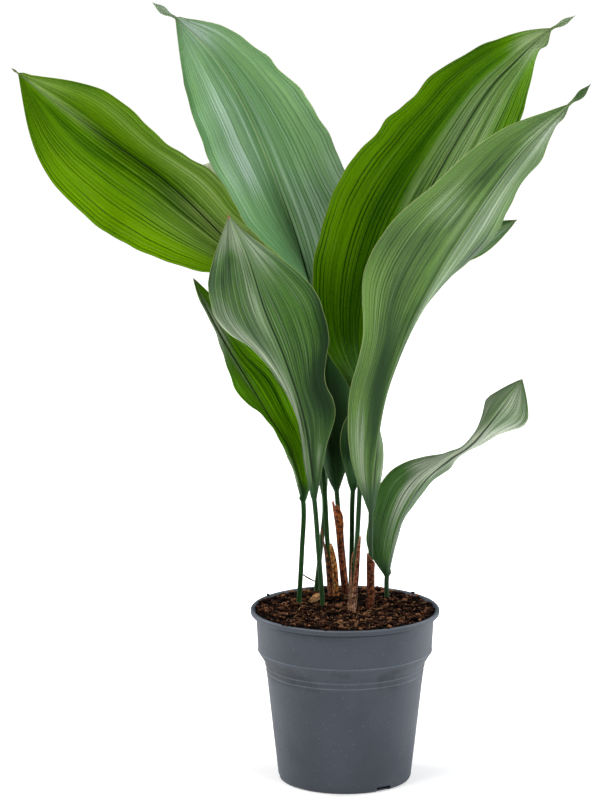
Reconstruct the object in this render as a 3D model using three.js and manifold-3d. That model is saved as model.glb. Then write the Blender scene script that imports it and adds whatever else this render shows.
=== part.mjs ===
// Potted cast iron plant: nine long-stalked leaves, the dry sheaths at their feet, soil and a nursery pot.
// Millimetres, +Z up. The origin is on the ground under the middle of the pot, and the front faces -Y.
import * as THREE from "three";
import { mergeVertices } from "three/addons/utils/BufferGeometryUtils.js";
import Module from "manifold-3d";

// Driving dimensions of the pot
const potHeight = 157;
const rimRadius = 85;
const lipHeight = 5;
const lipOverhang = 4.6;
const collarRadius = 78.3; // at the collar's lower edge
const collarBottom = 118;
const stepRadius = 72;
const stepBottom = 105.5;
const bodyTopRadius = 71.4;
const baseRadius = 60;
const baseRounding = 3;
const potWall = 1.6;
const potSides = 40;
const drainSlot = { count: 3, firstAngle: 36, width: 15, height: 5, depth: 9 };

// Driving dimensions of what stands in it
const gap = 0.3; // between pieces that touch
const soilEdge = 154; // the soil's height at the pot's wall
const soilMound = 1.5; // how much higher it is round the stalks
const soilBumps = 0.9;
const stalkHalf = 2.2; // a petiole's half width
const bladeHalfThickness = 0.35;
const edgeHalf = 0.32; // half the thickness of a blade's margin
const sheathThickness = 0.7;

// The direction that the plant faces: towards the front and a little up
const facing = new THREE.Vector3(0, -1, 0.27).normalize();

// Leaves. path runs from the foot in the soil to the tip, and its first stalk mm are the petiole.
// widths are the blade's half widths at even steps. left and right turn each half out of the blade's
// own plane, in degrees, towards the front where positive. ridge is the side that the midrib stands
// out on: -1 at the back, 1 at the front where the leaf shows its underside. wave is the height and
// the count of the waves along its edges. rows is how finely the blade is divided.
const leaves = {
  far_left_leaf: {
    path: [[-8, 40, 124], [-11, 47, 152], [-16, 63, 200], [-19, 84, 247], [-25, 112, 318], [-47, 140, 383],
      [-81, 156, 435], [-116, 160, 472], [-167, 151, 523], [-232, 130, 574], [-302, 100, 632]],
    stalk: 150, widths: [14, 26, 40, 57, 70, 74, 53],
    left: [28, 38, 65, 19, 14, -10], right: [-1, -4, 10, 31, 61, 66, 74, 55, 52],
    tip: [9, 1.5], ridge: -1, wave: [1.6, 6], rows: 28, colour: 0x4f7d1e,
  },
  tall_left_leaf: {
    path: [[4, 50, 123], [1, 54, 152], [-4, 61, 200], [-8, 74, 249], [-14, 92, 301], [-24, 112, 372],
      [-34, 124, 433], [-54, 132, 498], [-89, 138, 585], [-120, 138, 638], [-150, 134, 670],
      [-163, 130, 679], [-176, 126, 689]],
    stalk: 128, widths: [28, 42, 58, 72, 72, 75, 50],
    left: [20, 67, 63, 75, 88, 70, 54, 50, 45, 30, -15], right: [10, 14, 11, 30, 51, 42],
    tip: [27, 4.5], ridge: -1, wave: [1.2, 7], rows: 30, colour: 0x4c7a48,
  },
  front_left_leaf: {
    path: [[-19, 21, 122], [-20, 18, 152], [-24, 12, 207], [-28, 2, 259], [-37, -20, 333], [-54, -42, 392],
      [-72, -60, 440], [-85, -78, 486], [-101, -95, 528]],
    stalk: 136, widths: [14, 31, 29, 44, 52, 45, 28],
    left: [-49, -80, -67, -45, -22, -25], right: [-15, -28, -5, -15, -64, -83],
    tip: [0, 0], ridge: 1, wave: [0.8, 4], rows: 24, colour: 0x55773f,
  },
  tall_right_leaf: {
    path: [[3, 66, 125], [5, 66, 155], [6, 66, 199], [7, 62, 253], [13, 56, 318], [28, 52, 401],
      [47, 50, 466], [75, 46, 531], [120, 36, 612], [152, 26, 650], [176, 16, 674], [188, 9, 682],
      [200, 3, 690]],
    stalk: 126, widths: [27, 47, 67, 77, 73, 61, 39],
    left: [32, 48, 77, 28, 9, -2, 12, 25, 30, 30, -13], right: [-53, -63, -60, -59, -46, -85],
    tip: [27, 2.8], ridge: -1, wave: [1.4, 6], rows: 30, colour: 0x3f6f22,
  },
  front_right_leaf: {
    path: [[23, 22, 122], [23, 18, 152], [23, 12, 198], [23, 2, 247], [26, -14, 298], [34, -36, 354],
      [48, -54, 403], [65, -66, 445], [98, -80, 505], [145, -92, 577], [187, -100, 622],
      [198, -102, 632], [208, -104, 643]],
    stalk: 124, widths: [23, 33, 37, 57, 64, 47, 26],
    left: [-11, -17, -17, 25, 20, -33], right: [-49, -67, -105, -107, -92, -86, -74, -68, -66, -55, -80],
    tip: [27, 3.2], ridge: 1, wave: [0.8, 6], rows: 30, colour: 0x5a8038,
  },
  back_right_leaf: {
    path: [[4, 5, 122], [6, 8, 152], [10, 12, 205], [13, 19, 264], [14, 22, 300], [18, 25, 336],
      [27, 29, 376], [47, 35, 422], [75, 40, 453], [110, 43, 480], [153, 46, 503]],
    stalk: 141, widths: [10, 14, 16, 18, 22, 24, 18],
    left: [55, 65, 68, 66, 58, 35, 20, 30], right: [55, 65, 68, 68, 72, 78, 40, 6],
    tip: [0, 0], ridge: -1, wave: [0.6, 4], rows: 18, colour: 0x5d8a4a,
  },
  low_left_leaf: {
    path: [[-44, 17, 122], [-42, 18, 152], [-39, 20, 205], [-38, 24, 251], [-49, 31, 293], [-68, 36, 324],
      [-86, 38, 354], [-104, 38, 384], [-121, 33, 417], [-136, 26, 453]],
    stalk: 128, widths: [20, 33, 42, 45, 28, 21, 12],
    left: [82, 85, 84, 69, 88, 68], right: [41, 20, 10, 10, 12, 12],
    tip: [0, 0], ridge: -1, wave: [1.0, 4], rows: 22, colour: 0x3f6b1c,
  },
  small_right_leaf: {
    path: [[38, 44, 122], [38, 43, 152], [38, 42, 177], [42, 38, 206], [51, 32, 236], [70, 22, 269],
      [92, 12, 291], [113, 4, 308], [136, 6, 336], [158, 20, 363]],
    stalk: 54, widths: [24, 28, 32, 20, 7, 17, 28],
    left: [9, 18, -37, -68, -66, -45], right: [-80, -82, -78, -68, -46, 29],
    tip: [0, 0], ridge: 1, wave: [0.6, 4], rows: 22, colour: 0x527a40,
  },
  dry_tip_leaf: {
    path: [[-30, 52, 124], [-27, 60, 153], [-22, 76, 197], [-19, 96, 230], [-24, 122, 267], [-40, 158, 306],
      [-64, 186, 358], [-92, 204, 416], [-112, 212, 472], [-129, 214, 527]],
    stalk: 122, widths: [8, 14, 20, 23, 22, 18, 13], left: [10, 10], right: [10, 10],
    tip: [0, 0], ridge: -1, wave: [1.2, 5], rows: 16, colour: 0x6f8048,
  },
};

// Dry sheaths. from and to are distances along the path of the leaf that each one wraps, or along its
// own path. radius is its inner radius. start and end are the angles that it covers round the stalk,
// in degrees from the front, positive to the right.
const sheaths = {
  sheath_far_left: {
    around: "far_left_leaf", from: 20, to: 93, radius: [3.8, 3.5, 3, 3, 4],
    start: [-165, -165, -150, -130, -100], end: [10, 20, 20, -20, -75], colour: 0x6b4733,
  },
  sheath_orange: {
    path: [[-8, 36, 138], [-8, 41, 157], [-9, 48, 177], [-11, 54, 192], [-12.5, 57, 204]],
    from: 0, to: 69, radius: [1.8, 1.9, 2, 1.8, 1.2],
    start: [-160, -160, -150, -110, -60], end: [160, 160, 150, 80, 20], colour: 0x9a5c22,
  },
  sheath_tall_left: {
    around: "tall_left_leaf", from: 20, to: 118, radius: [2.8, 2.8, 2.8, 2.9, 4.6],
    start: [-165, -165, -165, -160, -130], end: [160, 160, 155, 110, -50], colour: 0x6a4030,
  },
  sheath_back_right: {
    around: "back_right_leaf", from: 20, to: 98, radius: [3.2, 3.4, 3.4, 3, 2.8],
    start: [-5, 5, 10, 10, 20], end: [345, 330, 310, 200, 90], colour: 0x755040,
  },
  sheath_front_right: {
    around: "front_right_leaf", from: 20, to: 82, radius: [3, 3, 3, 3, 3],
    start: [-166, -166, -165, -160, -150], end: [163, 163, 160, 140, -40], colour: 0x744c38,
  },
};

// The old piece of rootstock that shows at the surface
const rootstock = { at: [-26, 34, 154.5], half: [8, 4.5, 4], turn: 50, tilt: 12, colour: 0xa97c4a };

const wasm = await Module();
wasm.setup();

const radians = THREE.MathUtils.degToRad;

// A value through evenly spaced stations over 0..1, smooth at each of them.
function smooth(values, v) {
  const last = values.length - 1;
  const x = THREE.MathUtils.clamp(v, 0, 1) * last;
  const i = Math.min(Math.floor(x), last - 1);
  const t = x - i;
  const before = i > 0 ? values[i - 1] : 2 * values[0] - values[1];
  const after = i < last - 1 ? values[i + 2] : 2 * values[last] - values[last - 1];
  const slopeA = (values[i + 1] - before) / 2;
  const slopeB = (after - values[i]) / 2;
  const rise = values[i + 1] - values[i];
  return values[i] + slopeA * t + (3 * rise - 2 * slopeA - slopeB) * t * t + (slopeA + slopeB - 2 * rise) * t ** 3;
}

// The curve of a path, with its length.
function curveOf(path) {
  const points = path.map((p) => new THREE.Vector3(...p));
  const curve = new THREE.CatmullRomCurve3(points, false, "catmullrom", 0.5);
  curve.arcLengthDivisions = 400;
  return { curve, length: curve.getLength() };
}

// The place and the directions at a distance along a curve: across to the right and towards the front.
function frameAt({ curve, length }, distance) {
  const reach = 2;
  const inside = THREE.MathUtils.clamp(distance, 0, length);
  const at = (d) => curve.getPointAt(THREE.MathUtils.clamp(d / length, 0, 1));
  const along = at(inside + reach).sub(at(inside - reach)).normalize();
  const front = facing.clone().addScaledVector(along, -facing.dot(along)).normalize();
  const point = at(inside).addScaledVector(along, distance - inside);
  return { point, across: along.clone().cross(front), front };
}

// A closed mesh of rings that follow each other, each a loop of points, with its two ends closed.
function meshOfRings(rings) {
  const count = rings[0].length;
  const positions = rings.flat().flatMap((p) => [p.x, p.y, p.z]);
  const faces = [];
  for (let i = 0; i < rings.length - 1; i++) {
    for (let j = 0; j < count; j++) {
      const a = i * count + j;
      const b = i * count + ((j + 1) % count);
      // alike on both faces of a blade, which are each other's mirror image in j
      if (j < count / 2) faces.push(a, b, b + count, a, b + count, a + count);
      else faces.push(a, b, a + count, b, b + count, a + count);
    }
  }
  const lastRing = (rings.length - 1) * count;
  for (let j = 0; j < count / 2 - 1; j++) {
    const k = count - 1 - j;
    faces.push(j, k, k - 1, j, k - 1, j + 1);
    faces.push(lastRing + j, lastRing + k - 1, lastRing + k);
    faces.push(lastRing + j, lastRing + j + 1, lastRing + k - 1);
  }
  const geometry = new THREE.BufferGeometry();
  geometry.setAttribute("position", new THREE.Float32BufferAttribute(positions, 3));
  geometry.setIndex(faces);
  return geometry;
}

// The distances along a leaf of its cross-sections: few in the stalk, more in the blade.
function leafRows(leaf, length) {
  const stalkRows = 8;
  const tipRows = leaf.tip[0] > 0 ? 3 : 0;
  const blade = length - leaf.stalk - leaf.tip[0];
  const rows = [];
  for (let i = 0; i < stalkRows; i++) rows.push((leaf.stalk * i) / stalkRows);
  for (let i = 0; i <= leaf.rows; i++) rows.push(leaf.stalk + (blade * i) / leaf.rows);
  for (let i = 1; i <= tipRows; i++) rows.push(length - leaf.tip[0] * (1 - i / tipRows));
  return rows;
}

// The half width of a leaf, v along its blade, q along the narrow tip past it.
function leafHalfWidth(leaf, v, q) {
  if (v <= 0) return stalkHalf;
  const [, tipHalf] = leaf.tip;
  if (q > 0) return Math.max(tipHalf * Math.sin(Math.PI * q) ** 0.8, 0.6);
  return Math.max(smooth([2, ...leaf.widths, tipHalf > 0 ? 1.2 : 0.5], v), 0.8);
}

// One cross-section of a leaf: seven points over its front face and seven back over its rear face.
function leafSection(leaf, frame, v, q) {
  const { point, across, front } = frame;
  const half = leafHalfWidth(leaf, v, q);
  const flat = THREE.MathUtils.smoothstep(v, 0, 0.2); // 0 in the round stalk, 1 in the flat blade
  const open = THREE.MathUtils.smoothstep(v, 0, 0.06) * (1 - THREE.MathUtils.smoothstep(v, 0.95, 0.99));
  const left = radians(smooth(leaf.left, v)) * open;
  const right = radians(smooth(leaf.right, v)) * open;
  const fold = (left + right) / 2;
  const ridgeHalf = Math.min(THREE.MathUtils.lerp(2.1, 1, v), 0.6 * half);
  const ridgeHeight = THREE.MathUtils.lerp(1.5, 0.3, v) * Math.min(half / stalkHalf, 1);
  const [waveHeight, waveCount] = leaf.wave;
  const offsets = [-1, -0.5, 0, 0.5, 1].flatMap((u) => {
    if (u === 0) return [-ridgeHalf, 0, ridgeHalf];
    return [Math.abs(u) === 1 ? u * half : (Math.sign(u) * (half + ridgeHalf)) / 2];
  });
  const frontFace = [];
  const rearFace = [];
  offsets.forEach((offset) => {
    const side = Math.sign(offset);
    const u = Math.abs(offset) / half;
    const turn = side < 0 ? left : -right;
    const centreTurn = (left - right) / 2;
    const lean = side === 0 ? centreTurn : turn;
    const normal = across.clone().multiplyScalar(Math.sin(lean)).addScaledVector(front, Math.cos(lean));
    const out = across.clone().multiplyScalar(Math.cos(turn)).addScaledVector(front, -Math.sin(turn));
    const fade = flat * Math.sin(Math.PI * Math.min(v, 1)) ** 0.6;
    const wave = waveHeight * u * u * fade * Math.sin(2 * Math.PI * waveCount * v + side);
    const place = point.clone().addScaledVector(out, offset).addScaledVector(normal, wave);
    // the round stalk's outline, and the blade's two faces with the midrib on one of them
    const round = 0.2 + 1.25 * Math.sqrt(Math.max(1 - u * u, 0));
    const face = u > 0.99 ? edgeHalf : bladeHalfThickness;
    const inside = side === 0 ? Math.min(1 / Math.cos(fold), 3) : 1; // keeps a sharp fold open
    const rib = ridgeHeight * (side === 0 ? 1 : u < 0.61 && Math.abs(offset) <= ridgeHalf ? 0.3 : 0);
    const plain = THREE.MathUtils.lerp(round, face * inside, flat);
    const ribbed = THREE.MathUtils.lerp(round + 0.3 * (1 - u), face + rib, flat);
    const [frontHeight, rearHeight] = leaf.ridge > 0 ? [ribbed, plain] : [plain, ribbed];
    frontFace.push(place.clone().addScaledVector(normal, frontHeight));
    rearFace.push(place.clone().addScaledVector(normal, -rearHeight));
  });
  return [...frontFace, ...rearFace.reverse()];
}

function makeLeaf(leaf) {
  const route = curveOf(leaf.path);
  const blade = route.length - leaf.stalk - leaf.tip[0];
  const rings = leafRows(leaf, route.length).map((distance) => {
    const v = THREE.MathUtils.clamp((distance - leaf.stalk) / blade, 0, 1);
    const q = leaf.tip[0] > 0 ? (distance - route.length + leaf.tip[0]) / leaf.tip[0] : 0;
    return leafSection(leaf, frameAt(route, distance), v, q);
  });
  return meshOfRings(rings);
}

// A thin shell bent round a stalk: the inner arc and, back the other way, the outer one.
function makeSheath(sheath) {
  const rows = 8;
  const steps = 9;
  const route = curveOf(sheath.path ?? leaves[sheath.around].path);
  const rings = [];
  for (let i = 0; i <= rows; i++) {
    const t = 1 - (1 - i / rows) ** 1.5; // closer together towards the slanted top
    const { point, across, front } = frameAt(route, THREE.MathUtils.lerp(sheath.from, sheath.to, t));
    const arc = (radius) => Array.from({ length: steps }, (_, j) => {
      const angle = radians(THREE.MathUtils.lerp(smooth(sheath.start, t), smooth(sheath.end, t), j / (steps - 1)));
      const place = point.clone().addScaledVector(front, radius * Math.cos(angle));
      return place.addScaledVector(across, radius * Math.sin(angle));
    });
    const radius = smooth(sheath.radius, t);
    rings.push([...arc(radius + sheathThickness), ...arc(radius).reverse()]);
  }
  return meshOfRings(rings);
}

// A closed round bar along part of a path, which cuts the hole that a stalk or a sheath stands in.
function makeBar(route, from, to, radius) {
  const sides = 10;
  const rows = 5;
  const rings = [];
  for (let i = 0; i <= rows; i++) {
    const { point, across, front } = frameAt(route, THREE.MathUtils.lerp(from, to, i / rows));
    rings.push(Array.from({ length: sides }, (_, j) => {
      const angle = (2 * Math.PI * j) / sides;
      const reach = radius / Math.cos(Math.PI / sides);
      const place = point.clone().addScaledVector(front, reach * Math.cos(angle));
      return place.addScaledVector(across, reach * Math.sin(angle));
    }));
  }
  return meshOfRings(rings);
}

// The pot's outer outline from the middle of its underside to the rim.
function potOutside() {
  const lipRadius = rimRadius - lipOverhang;
  return [
    [0, 0],
    [baseRadius - baseRounding, 0],
    [baseRadius - 0.9, 0.9],
    [baseRadius, baseRounding],
    [bodyTopRadius, stepBottom - 1],
    [stepRadius, stepBottom],
    [stepRadius, stepBottom + 3],
    [collarRadius, collarBottom],
    [lipRadius - 0.3, potHeight - lipHeight - 1],
    [lipRadius + 0.3, potHeight - lipHeight],
    [rimRadius - 0.8, potHeight - lipHeight + 0.2],
    [rimRadius, potHeight - lipHeight + 1.2],
    [rimRadius, potHeight - 1],
    [rimRadius - 0.8, potHeight],
  ];
}

// Its inner outline from the rim down to the middle of its floor, moved inwards by clearance.
function potInside(clearance) {
  const inwards = potWall + clearance;
  const lipRadius = rimRadius - lipOverhang;
  return [
    [rimRadius - 2.6 - clearance, potHeight],
    [lipRadius - inwards, potHeight - lipHeight],
    [collarRadius - inwards, collarBottom + 1],
    [stepRadius - inwards, stepBottom + 3.5],
    [bodyTopRadius - inwards, stepBottom - 1],
    [baseRadius - inwards, baseRounding + 0.8],
    [baseRadius - inwards - 1.2, potWall + clearance],
    [0, potWall + clearance],
  ];
}

function lathe(outline) {
  const points = outline.map(([radius, height]) => new THREE.Vector2(radius, height));
  return new THREE.LatheGeometry(points, potSides).rotateX(Math.PI / 2);
}

// A geometry as a solid that can be cut, with its shared vertices merged.
function solidOf(geometry) {
  const bare = geometry.clone();
  bare.deleteAttribute("normal");
  bare.deleteAttribute("uv");
  const merged = mergeVertices(bare, 1e-3);
  const triVerts = new Uint32Array(merged.index.array);
  return new wasm.Manifold(
    new wasm.Mesh({ numProp: 3, vertProperties: merged.attributes.position.array, triVerts }),
  );
}

function geometryOf(solid) {
  const mesh = solid.getMesh();
  const geometry = new THREE.BufferGeometry();
  geometry.setAttribute("position", new THREE.BufferAttribute(mesh.vertProperties, 3));
  geometry.setIndex(new THREE.BufferAttribute(mesh.triVerts, 1));
  return geometry;
}

// The pot with its drain slots cut through the rounded corner of its base.
function makePot() {
  let pot = solidOf(lathe([...potOutside(), ...potInside(0)]));
  for (let i = 0; i < drainSlot.count; i++) {
    const angle = radians(drainSlot.firstAngle + (360 * i) / drainSlot.count);
    const cutter = new THREE.BoxGeometry(drainSlot.width, drainSlot.depth, drainSlot.height);
    cutter.translate(0, -baseRadius, 1.2 + drainSlot.height / 2);
    cutter.rotateZ(angle);
    pot = pot.subtract(solidOf(cutter));
  }
  return geometryOf(pot);
}

// How high the soil stands at a place: a low mound round the stalks, with small bumps.
function soilHeight(x, y) {
  const mound = soilMound * Math.exp(-((x - 2) ** 2 + (y - 52) ** 2) / 900);
  const bumps = Math.sin(x * 0.21 + 1.3) * Math.cos(y * 0.17 - 0.4) + 0.6 * Math.sin(x * 0.09 - y * 0.26);
  return soilEdge + mound + soilBumps * bumps;
}

// The soil fills the pot, and each stalk and sheath stands in a plain hole in it.
function makeSoil() {
  const wall = potInside(gap).slice(1).reverse();
  const [topRadius] = wall[wall.length - 1];
  const rings = [1.006, 0.8, 0.58, 0.36, 0.16, 0];
  const outline = [...wall, ...rings.map((share) => [topRadius * share, potHeight])];
  const geometry = lathe(outline);
  const position = geometry.getAttribute("position");
  for (let i = 0; i < position.count; i++) {
    if (position.getZ(i) < potHeight - 0.5) continue;
    position.setZ(i, soilHeight(position.getX(i), position.getY(i)));
  }
  let soil = solidOf(geometry);
  for (const leaf of Object.values(leaves)) {
    soil = soil.subtract(solidOf(makeBar(curveOf(leaf.path), -0.5, 45, stalkHalf + gap)));
  }
  for (const sheath of Object.values(sheaths)) {
    const route = curveOf(sheath.path ?? leaves[sheath.around].path);
    const radius = Math.max(...sheath.radius.slice(0, 3)) + sheathThickness + gap;
    soil = soil.subtract(solidOf(makeBar(route, sheath.from - gap, sheath.from + 30, radius)));
  }
  return geometryOf(soil.subtract(solidOf(makeRootstock(gap))));
}

// A lumpy bar of old rootstock, half sunk in the soil, grown by a margin where it cuts its own hollow.
function makeRootstock(margin) {
  const geometry = new THREE.SphereGeometry(1, 16, 10);
  const position = geometry.getAttribute("position");
  const [halfX, halfY, halfZ] = rootstock.half;
  for (let i = 0; i < position.count; i++) {
    const x = position.getX(i);
    const lump = 1 + 0.12 * Math.sin(5 * x + 1) * (1 - x * x);
    const y = position.getY(i) * lump;
    const z = position.getZ(i) * lump;
    position.setXYZ(i, x * (halfX + margin), y * (halfY + margin), z * (halfZ + margin));
  }
  geometry.rotateY(radians(-rootstock.tilt));
  geometry.rotateZ(radians(rootstock.turn));
  geometry.translate(...rootstock.at);
  return geometry;
}

function addPiece(group, name, geometry, colour, roughness) {
  const material = new THREE.MeshStandardMaterial({ color: colour, roughness, metalness: 0 });
  const mesh = new THREE.Mesh(geometry, material);
  mesh.name = name;
  group.add(mesh);
}

const plant = new THREE.Group();
addPiece(plant, "pot", makePot(), 0x5f656d, 0.55);
addPiece(plant, "soil", makeSoil(), 0x3a2a20, 0.95);
addPiece(plant, "rootstock", makeRootstock(0), rootstock.colour, 0.85);
for (const [name, leaf] of Object.entries(leaves)) addPiece(plant, name, makeLeaf(leaf), leaf.colour, 0.4);
for (const [name, sheath] of Object.entries(sheaths)) {
  addPiece(plant, name, makeSheath(sheath), sheath.colour, 0.85);
}

export default plant;
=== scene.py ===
import math
import random
import bmesh
import bpy
import numpy as np
from mathutils import Matrix, Vector, noise


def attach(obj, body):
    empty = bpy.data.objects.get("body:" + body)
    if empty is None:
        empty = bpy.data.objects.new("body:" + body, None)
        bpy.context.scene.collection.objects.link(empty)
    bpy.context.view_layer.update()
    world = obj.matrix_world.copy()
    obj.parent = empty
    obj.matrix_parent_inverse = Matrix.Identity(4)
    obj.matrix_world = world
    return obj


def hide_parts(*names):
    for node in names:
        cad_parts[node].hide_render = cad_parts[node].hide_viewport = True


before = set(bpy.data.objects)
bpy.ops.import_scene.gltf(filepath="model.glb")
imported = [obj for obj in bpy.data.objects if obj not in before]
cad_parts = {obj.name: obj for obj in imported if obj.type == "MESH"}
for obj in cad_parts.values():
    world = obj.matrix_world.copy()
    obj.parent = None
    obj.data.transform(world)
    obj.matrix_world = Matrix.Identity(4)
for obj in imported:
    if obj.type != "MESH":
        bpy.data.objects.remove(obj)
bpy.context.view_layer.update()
print("frame loaded")

# All shapes below are in millimetres and become metres in addPiece.
# X is to the right, Y is away from the camera and Z is up. Colours are screen tones, 0 to 255.
mm = 0.001
routeSteps = 2400
facing = np.array([0.0, -1.0, 0.27])
facing /= np.linalg.norm(facing)


def toLinear(tone):  # a screen tone as a shader colour
    c = np.array(tone) / 255
    return (*np.where(c <= 0.04045, c / 12.92, ((c + 0.055) / 1.055) ** 2.4).tolist(), 1.0)


def smoothStep(x, low, high):
    t = np.clip((x - low) / (high - low), 0, 1)
    return t * t * (3 - 2 * t)


# evenly spaced stations over 0..1, joined smoothly
def smoothThrough(values, v):
    values = np.asarray(values, float)
    padded = np.concatenate([[2 * values[0] - values[1]], values, [2 * values[-1] - values[-2]]])
    x = np.clip(v, 0, 1) * (len(values) - 1)
    i = np.minimum(x.astype(int), len(values) - 2)
    t = x - i
    if values.ndim > 1:
        t = t[:, None]
    before, a, b, after = (padded[i + k] for k in range(4))
    slopeA, slopeB, rise = (b - before) / 2, (after - a) / 2, b - a
    return a + slopeA * t + (3 * rise - 2 * slopeA - slopeB) * t ** 2 + (slopeA + slopeB - 2 * rise) * t ** 3


def unit(vectors):
    return vectors / np.linalg.norm(vectors, axis=1)[:, None]


def routeOf(points):
    fine = smoothThrough(points, np.linspace(0, 1, routeSteps))
    steps = np.linalg.norm(np.diff(fine, axis=0), axis=1)
    return fine, np.concatenate([[0], np.cumsum(steps)])


# places along a route with their directions: to the right across it, and to the front
def placesAlong(route, distance):
    fine, lengths = route
    total = lengths[-1]

    def at(d):
        d = np.clip(d, 0, total)
        return np.stack([np.interp(d, lengths, fine[:, k]) for k in range(3)], axis=-1)

    inside = np.clip(distance, 0, total)
    along = unit(at(inside + 2) - at(inside - 2))
    front = unit(facing - (along @ facing)[:, None] * along)
    point = at(inside) + along * (distance - inside)[:, None]
    return point, np.cross(along, front), front


# turns points in the plane of two of their axes
def spin(points, angle, a, b):
    turned = points.copy()
    turned[:, a] = points[:, a] * math.cos(angle) - points[:, b] * math.sin(angle)
    turned[:, b] = points[:, a] * math.sin(angle) + points[:, b] * math.cos(angle)
    return turned


def signedVolume(mesh):
    mesh.calc_loop_triangles()
    tris = np.empty(len(mesh.loop_triangles) * 3, np.int32)
    mesh.loop_triangles.foreach_get("vertices", tris)
    co = np.empty(len(mesh.vertices) * 3)
    mesh.vertices.foreach_get("co", co)
    p = co.reshape(-1, 3)[tris.reshape(-1, 3)]
    return float(np.einsum("ij,ij->i", p[:, 0], np.cross(p[:, 1], p[:, 2])).sum())


def link(item):
    bpy.context.collection.objects.link(item)
    return item


# a mesh object from points and faces, with float values per point for the materials
def addPiece(name, points, faces, values=None):
    mesh = bpy.data.meshes.new(name)
    faces = faces if isinstance(faces, list) else faces.tolist()
    mesh.from_pydata((np.asarray(points, float) * mm).tolist(), [], faces)
    for key, data in (values or {}).items():
        layer = mesh.attributes.new(key, "FLOAT", "POINT")
        layer.data.foreach_set("value", np.asarray(data, np.float32).ravel())
    mesh.update()
    if signedVolume(mesh) < 0:
        mesh.flip_normals()
    mesh.shade_smooth()
    return link(bpy.data.objects.new(name, mesh))


# one object from many small parts: points, faces and values of each
def addMany(name, parts):
    firsts = np.cumsum([0] + [len(points) for points, faces, values in parts])
    points = np.concatenate([points for points, faces, values in parts])
    faces = np.concatenate([part[1] + first for part, first in zip(parts, firsts)])
    values = {key: np.concatenate([part[2][key] for part in parts]) for key in parts[0][2]}
    return addPiece(name, points, faces, values)


# gives a piece its material and its body, and hides the node that it stands for
def dress(piece, material, node=None):
    piece.data.materials.clear()
    piece.data.materials.append(material)
    if node:
        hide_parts(node)
    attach(piece, "root")


# quads between rings that follow each other, with both ends closed across by strips
def ringFaces(rows, count):
    j = np.arange(count)
    nextJ = (j + 1) % count
    base = (np.arange(rows - 1) * count)[:, None]
    sides = np.stack([base + j, base + nextJ, base + count + nextJ, base + count + j], axis=-1).reshape(-1, 4)
    k = np.arange(count // 2 - 1)
    start = np.stack([k, count - 1 - k, count - 2 - k, k + 1], axis=-1)
    end = (rows - 1) * count + start[:, ::-1]
    return np.concatenate([sides, start, end])


# a closed sheet from the rows of points of its front and rear faces. Of a pair of values, each face has one.
def addSheet(name, front, rear, **values):
    rows, columns = front.shape[:2]
    points = np.concatenate([front, rear[:, ::-1]], axis=1).reshape(-1, 3)
    for key, data in values.items():
        pair = data if isinstance(data, tuple) else (data, data)
        near, far = (np.broadcast_to(face, (rows, columns)) for face in pair)
        values[key] = np.concatenate([near, far[:, ::-1]], axis=1)
    return addPiece(name, points, ringFaces(rows, 2 * columns), values)


def ringPoints(r, z, sides):
    turns = [2 * math.pi * i / sides for i in range(sides)]
    return [(r * math.sin(a), -r * math.cos(a), z) for a in turns]


# faces of a lathed skin: a point, rings of points and a last point
def latheFaces(rings, sides):
    faces = []
    for i in range(sides):
        k = (i + 1) % sides
        faces.append([0, 1 + i, 1 + k])
        for a in range(1, 1 + (rings - 1) * sides, sides):
            faces.append([a + i, a + sides + i, a + sides + k, a + k])
        a = 1 + (rings - 1) * sides
        faces.append([a + k, a + i, rings * sides + 1])
    return faces


def isSocket(value):
    return isinstance(value, bpy.types.NodeSocket)


def plug(socket, value):  # a tuple is a screen tone
    if isSocket(value):
        socket.id_data.links.new(value, socket)
    else:
        socket.default_value = toLinear(value) if isinstance(value, tuple) else value


def addNode(tree, kind, inputs=None, **settings):
    node = tree.nodes.new("ShaderNode" + kind)
    for key, value in settings.items():
        setattr(node, key, value)
    for key, value in (inputs or {}).items():
        plug(node.inputs[key], value)
    return node


# a node beside those that feed it. The next few functions each make one and return its output.
def feed(kind, inputs, **settings):
    tree = next(value.id_data for value in inputs.values() if isSocket(value))
    return addNode(tree, kind, inputs, **settings).outputs


def calc(operation, *values, clamp=False):
    return feed("Math", dict(enumerate(values)), operation=operation, use_clamp=clamp)[0]


def times(a, b, plus=None, clamp=False):  # a * b, or a * b + plus
    if plus is None:
        return calc("MULTIPLY", a, b, clamp=clamp)
    return calc("MULTIPLY_ADD", a, b, plus, clamp=clamp)


def mixColours(mask, a, b):
    return feed("Mix", {0: mask, 6: a, 7: b}, data_type="RGBA")[2]


# coats of colour, each a mask and a tone, one over the other
def coat(colour, *coats):
    for mask, tone in coats:
        colour = mixColours(mask, colour, tone)
    return colour


def remap(value, fromLow, fromHigh, toLow=0.0, toHigh=1.0):
    inputs = {"Value": value, "From Min": fromLow, "From Max": fromHigh, "To Min": toLow, "To Max": toHigh}
    return feed("MapRange", inputs, interpolation_type="SMOOTHSTEP")[0]


def noiseOf(vector, scale, detail=2.0, roughness=0.5):
    inputs = {"Vector": vector, "Scale": scale, "Detail": detail, "Roughness": roughness}
    return feed("TexNoise", inputs)["Fac"]


def attributesOf(material, names):
    nodes = [addNode(material.node_tree, "Attribute", attribute_name=name) for name in names.split()]
    return [node.outputs["Fac"] for node in nodes]


def newGroup(name, inputs, outputs):
    tree = bpy.data.node_groups.new(name, "ShaderNodeTree")
    for key, value in inputs.items():
        kind = "NodeSocketVector" if value is None else "NodeSocketFloat"
        socket = tree.interface.new_socket(key, in_out="INPUT", socket_type=kind)
        if value is not None:
            socket.default_value = value
    for key in outputs:
        tree.interface.new_socket(key, in_out="OUTPUT", socket_type="NodeSocketFloat")
    return tree, tree.nodes.new("NodeGroupInput").outputs, tree.nodes.new("NodeGroupOutput").inputs


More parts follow.
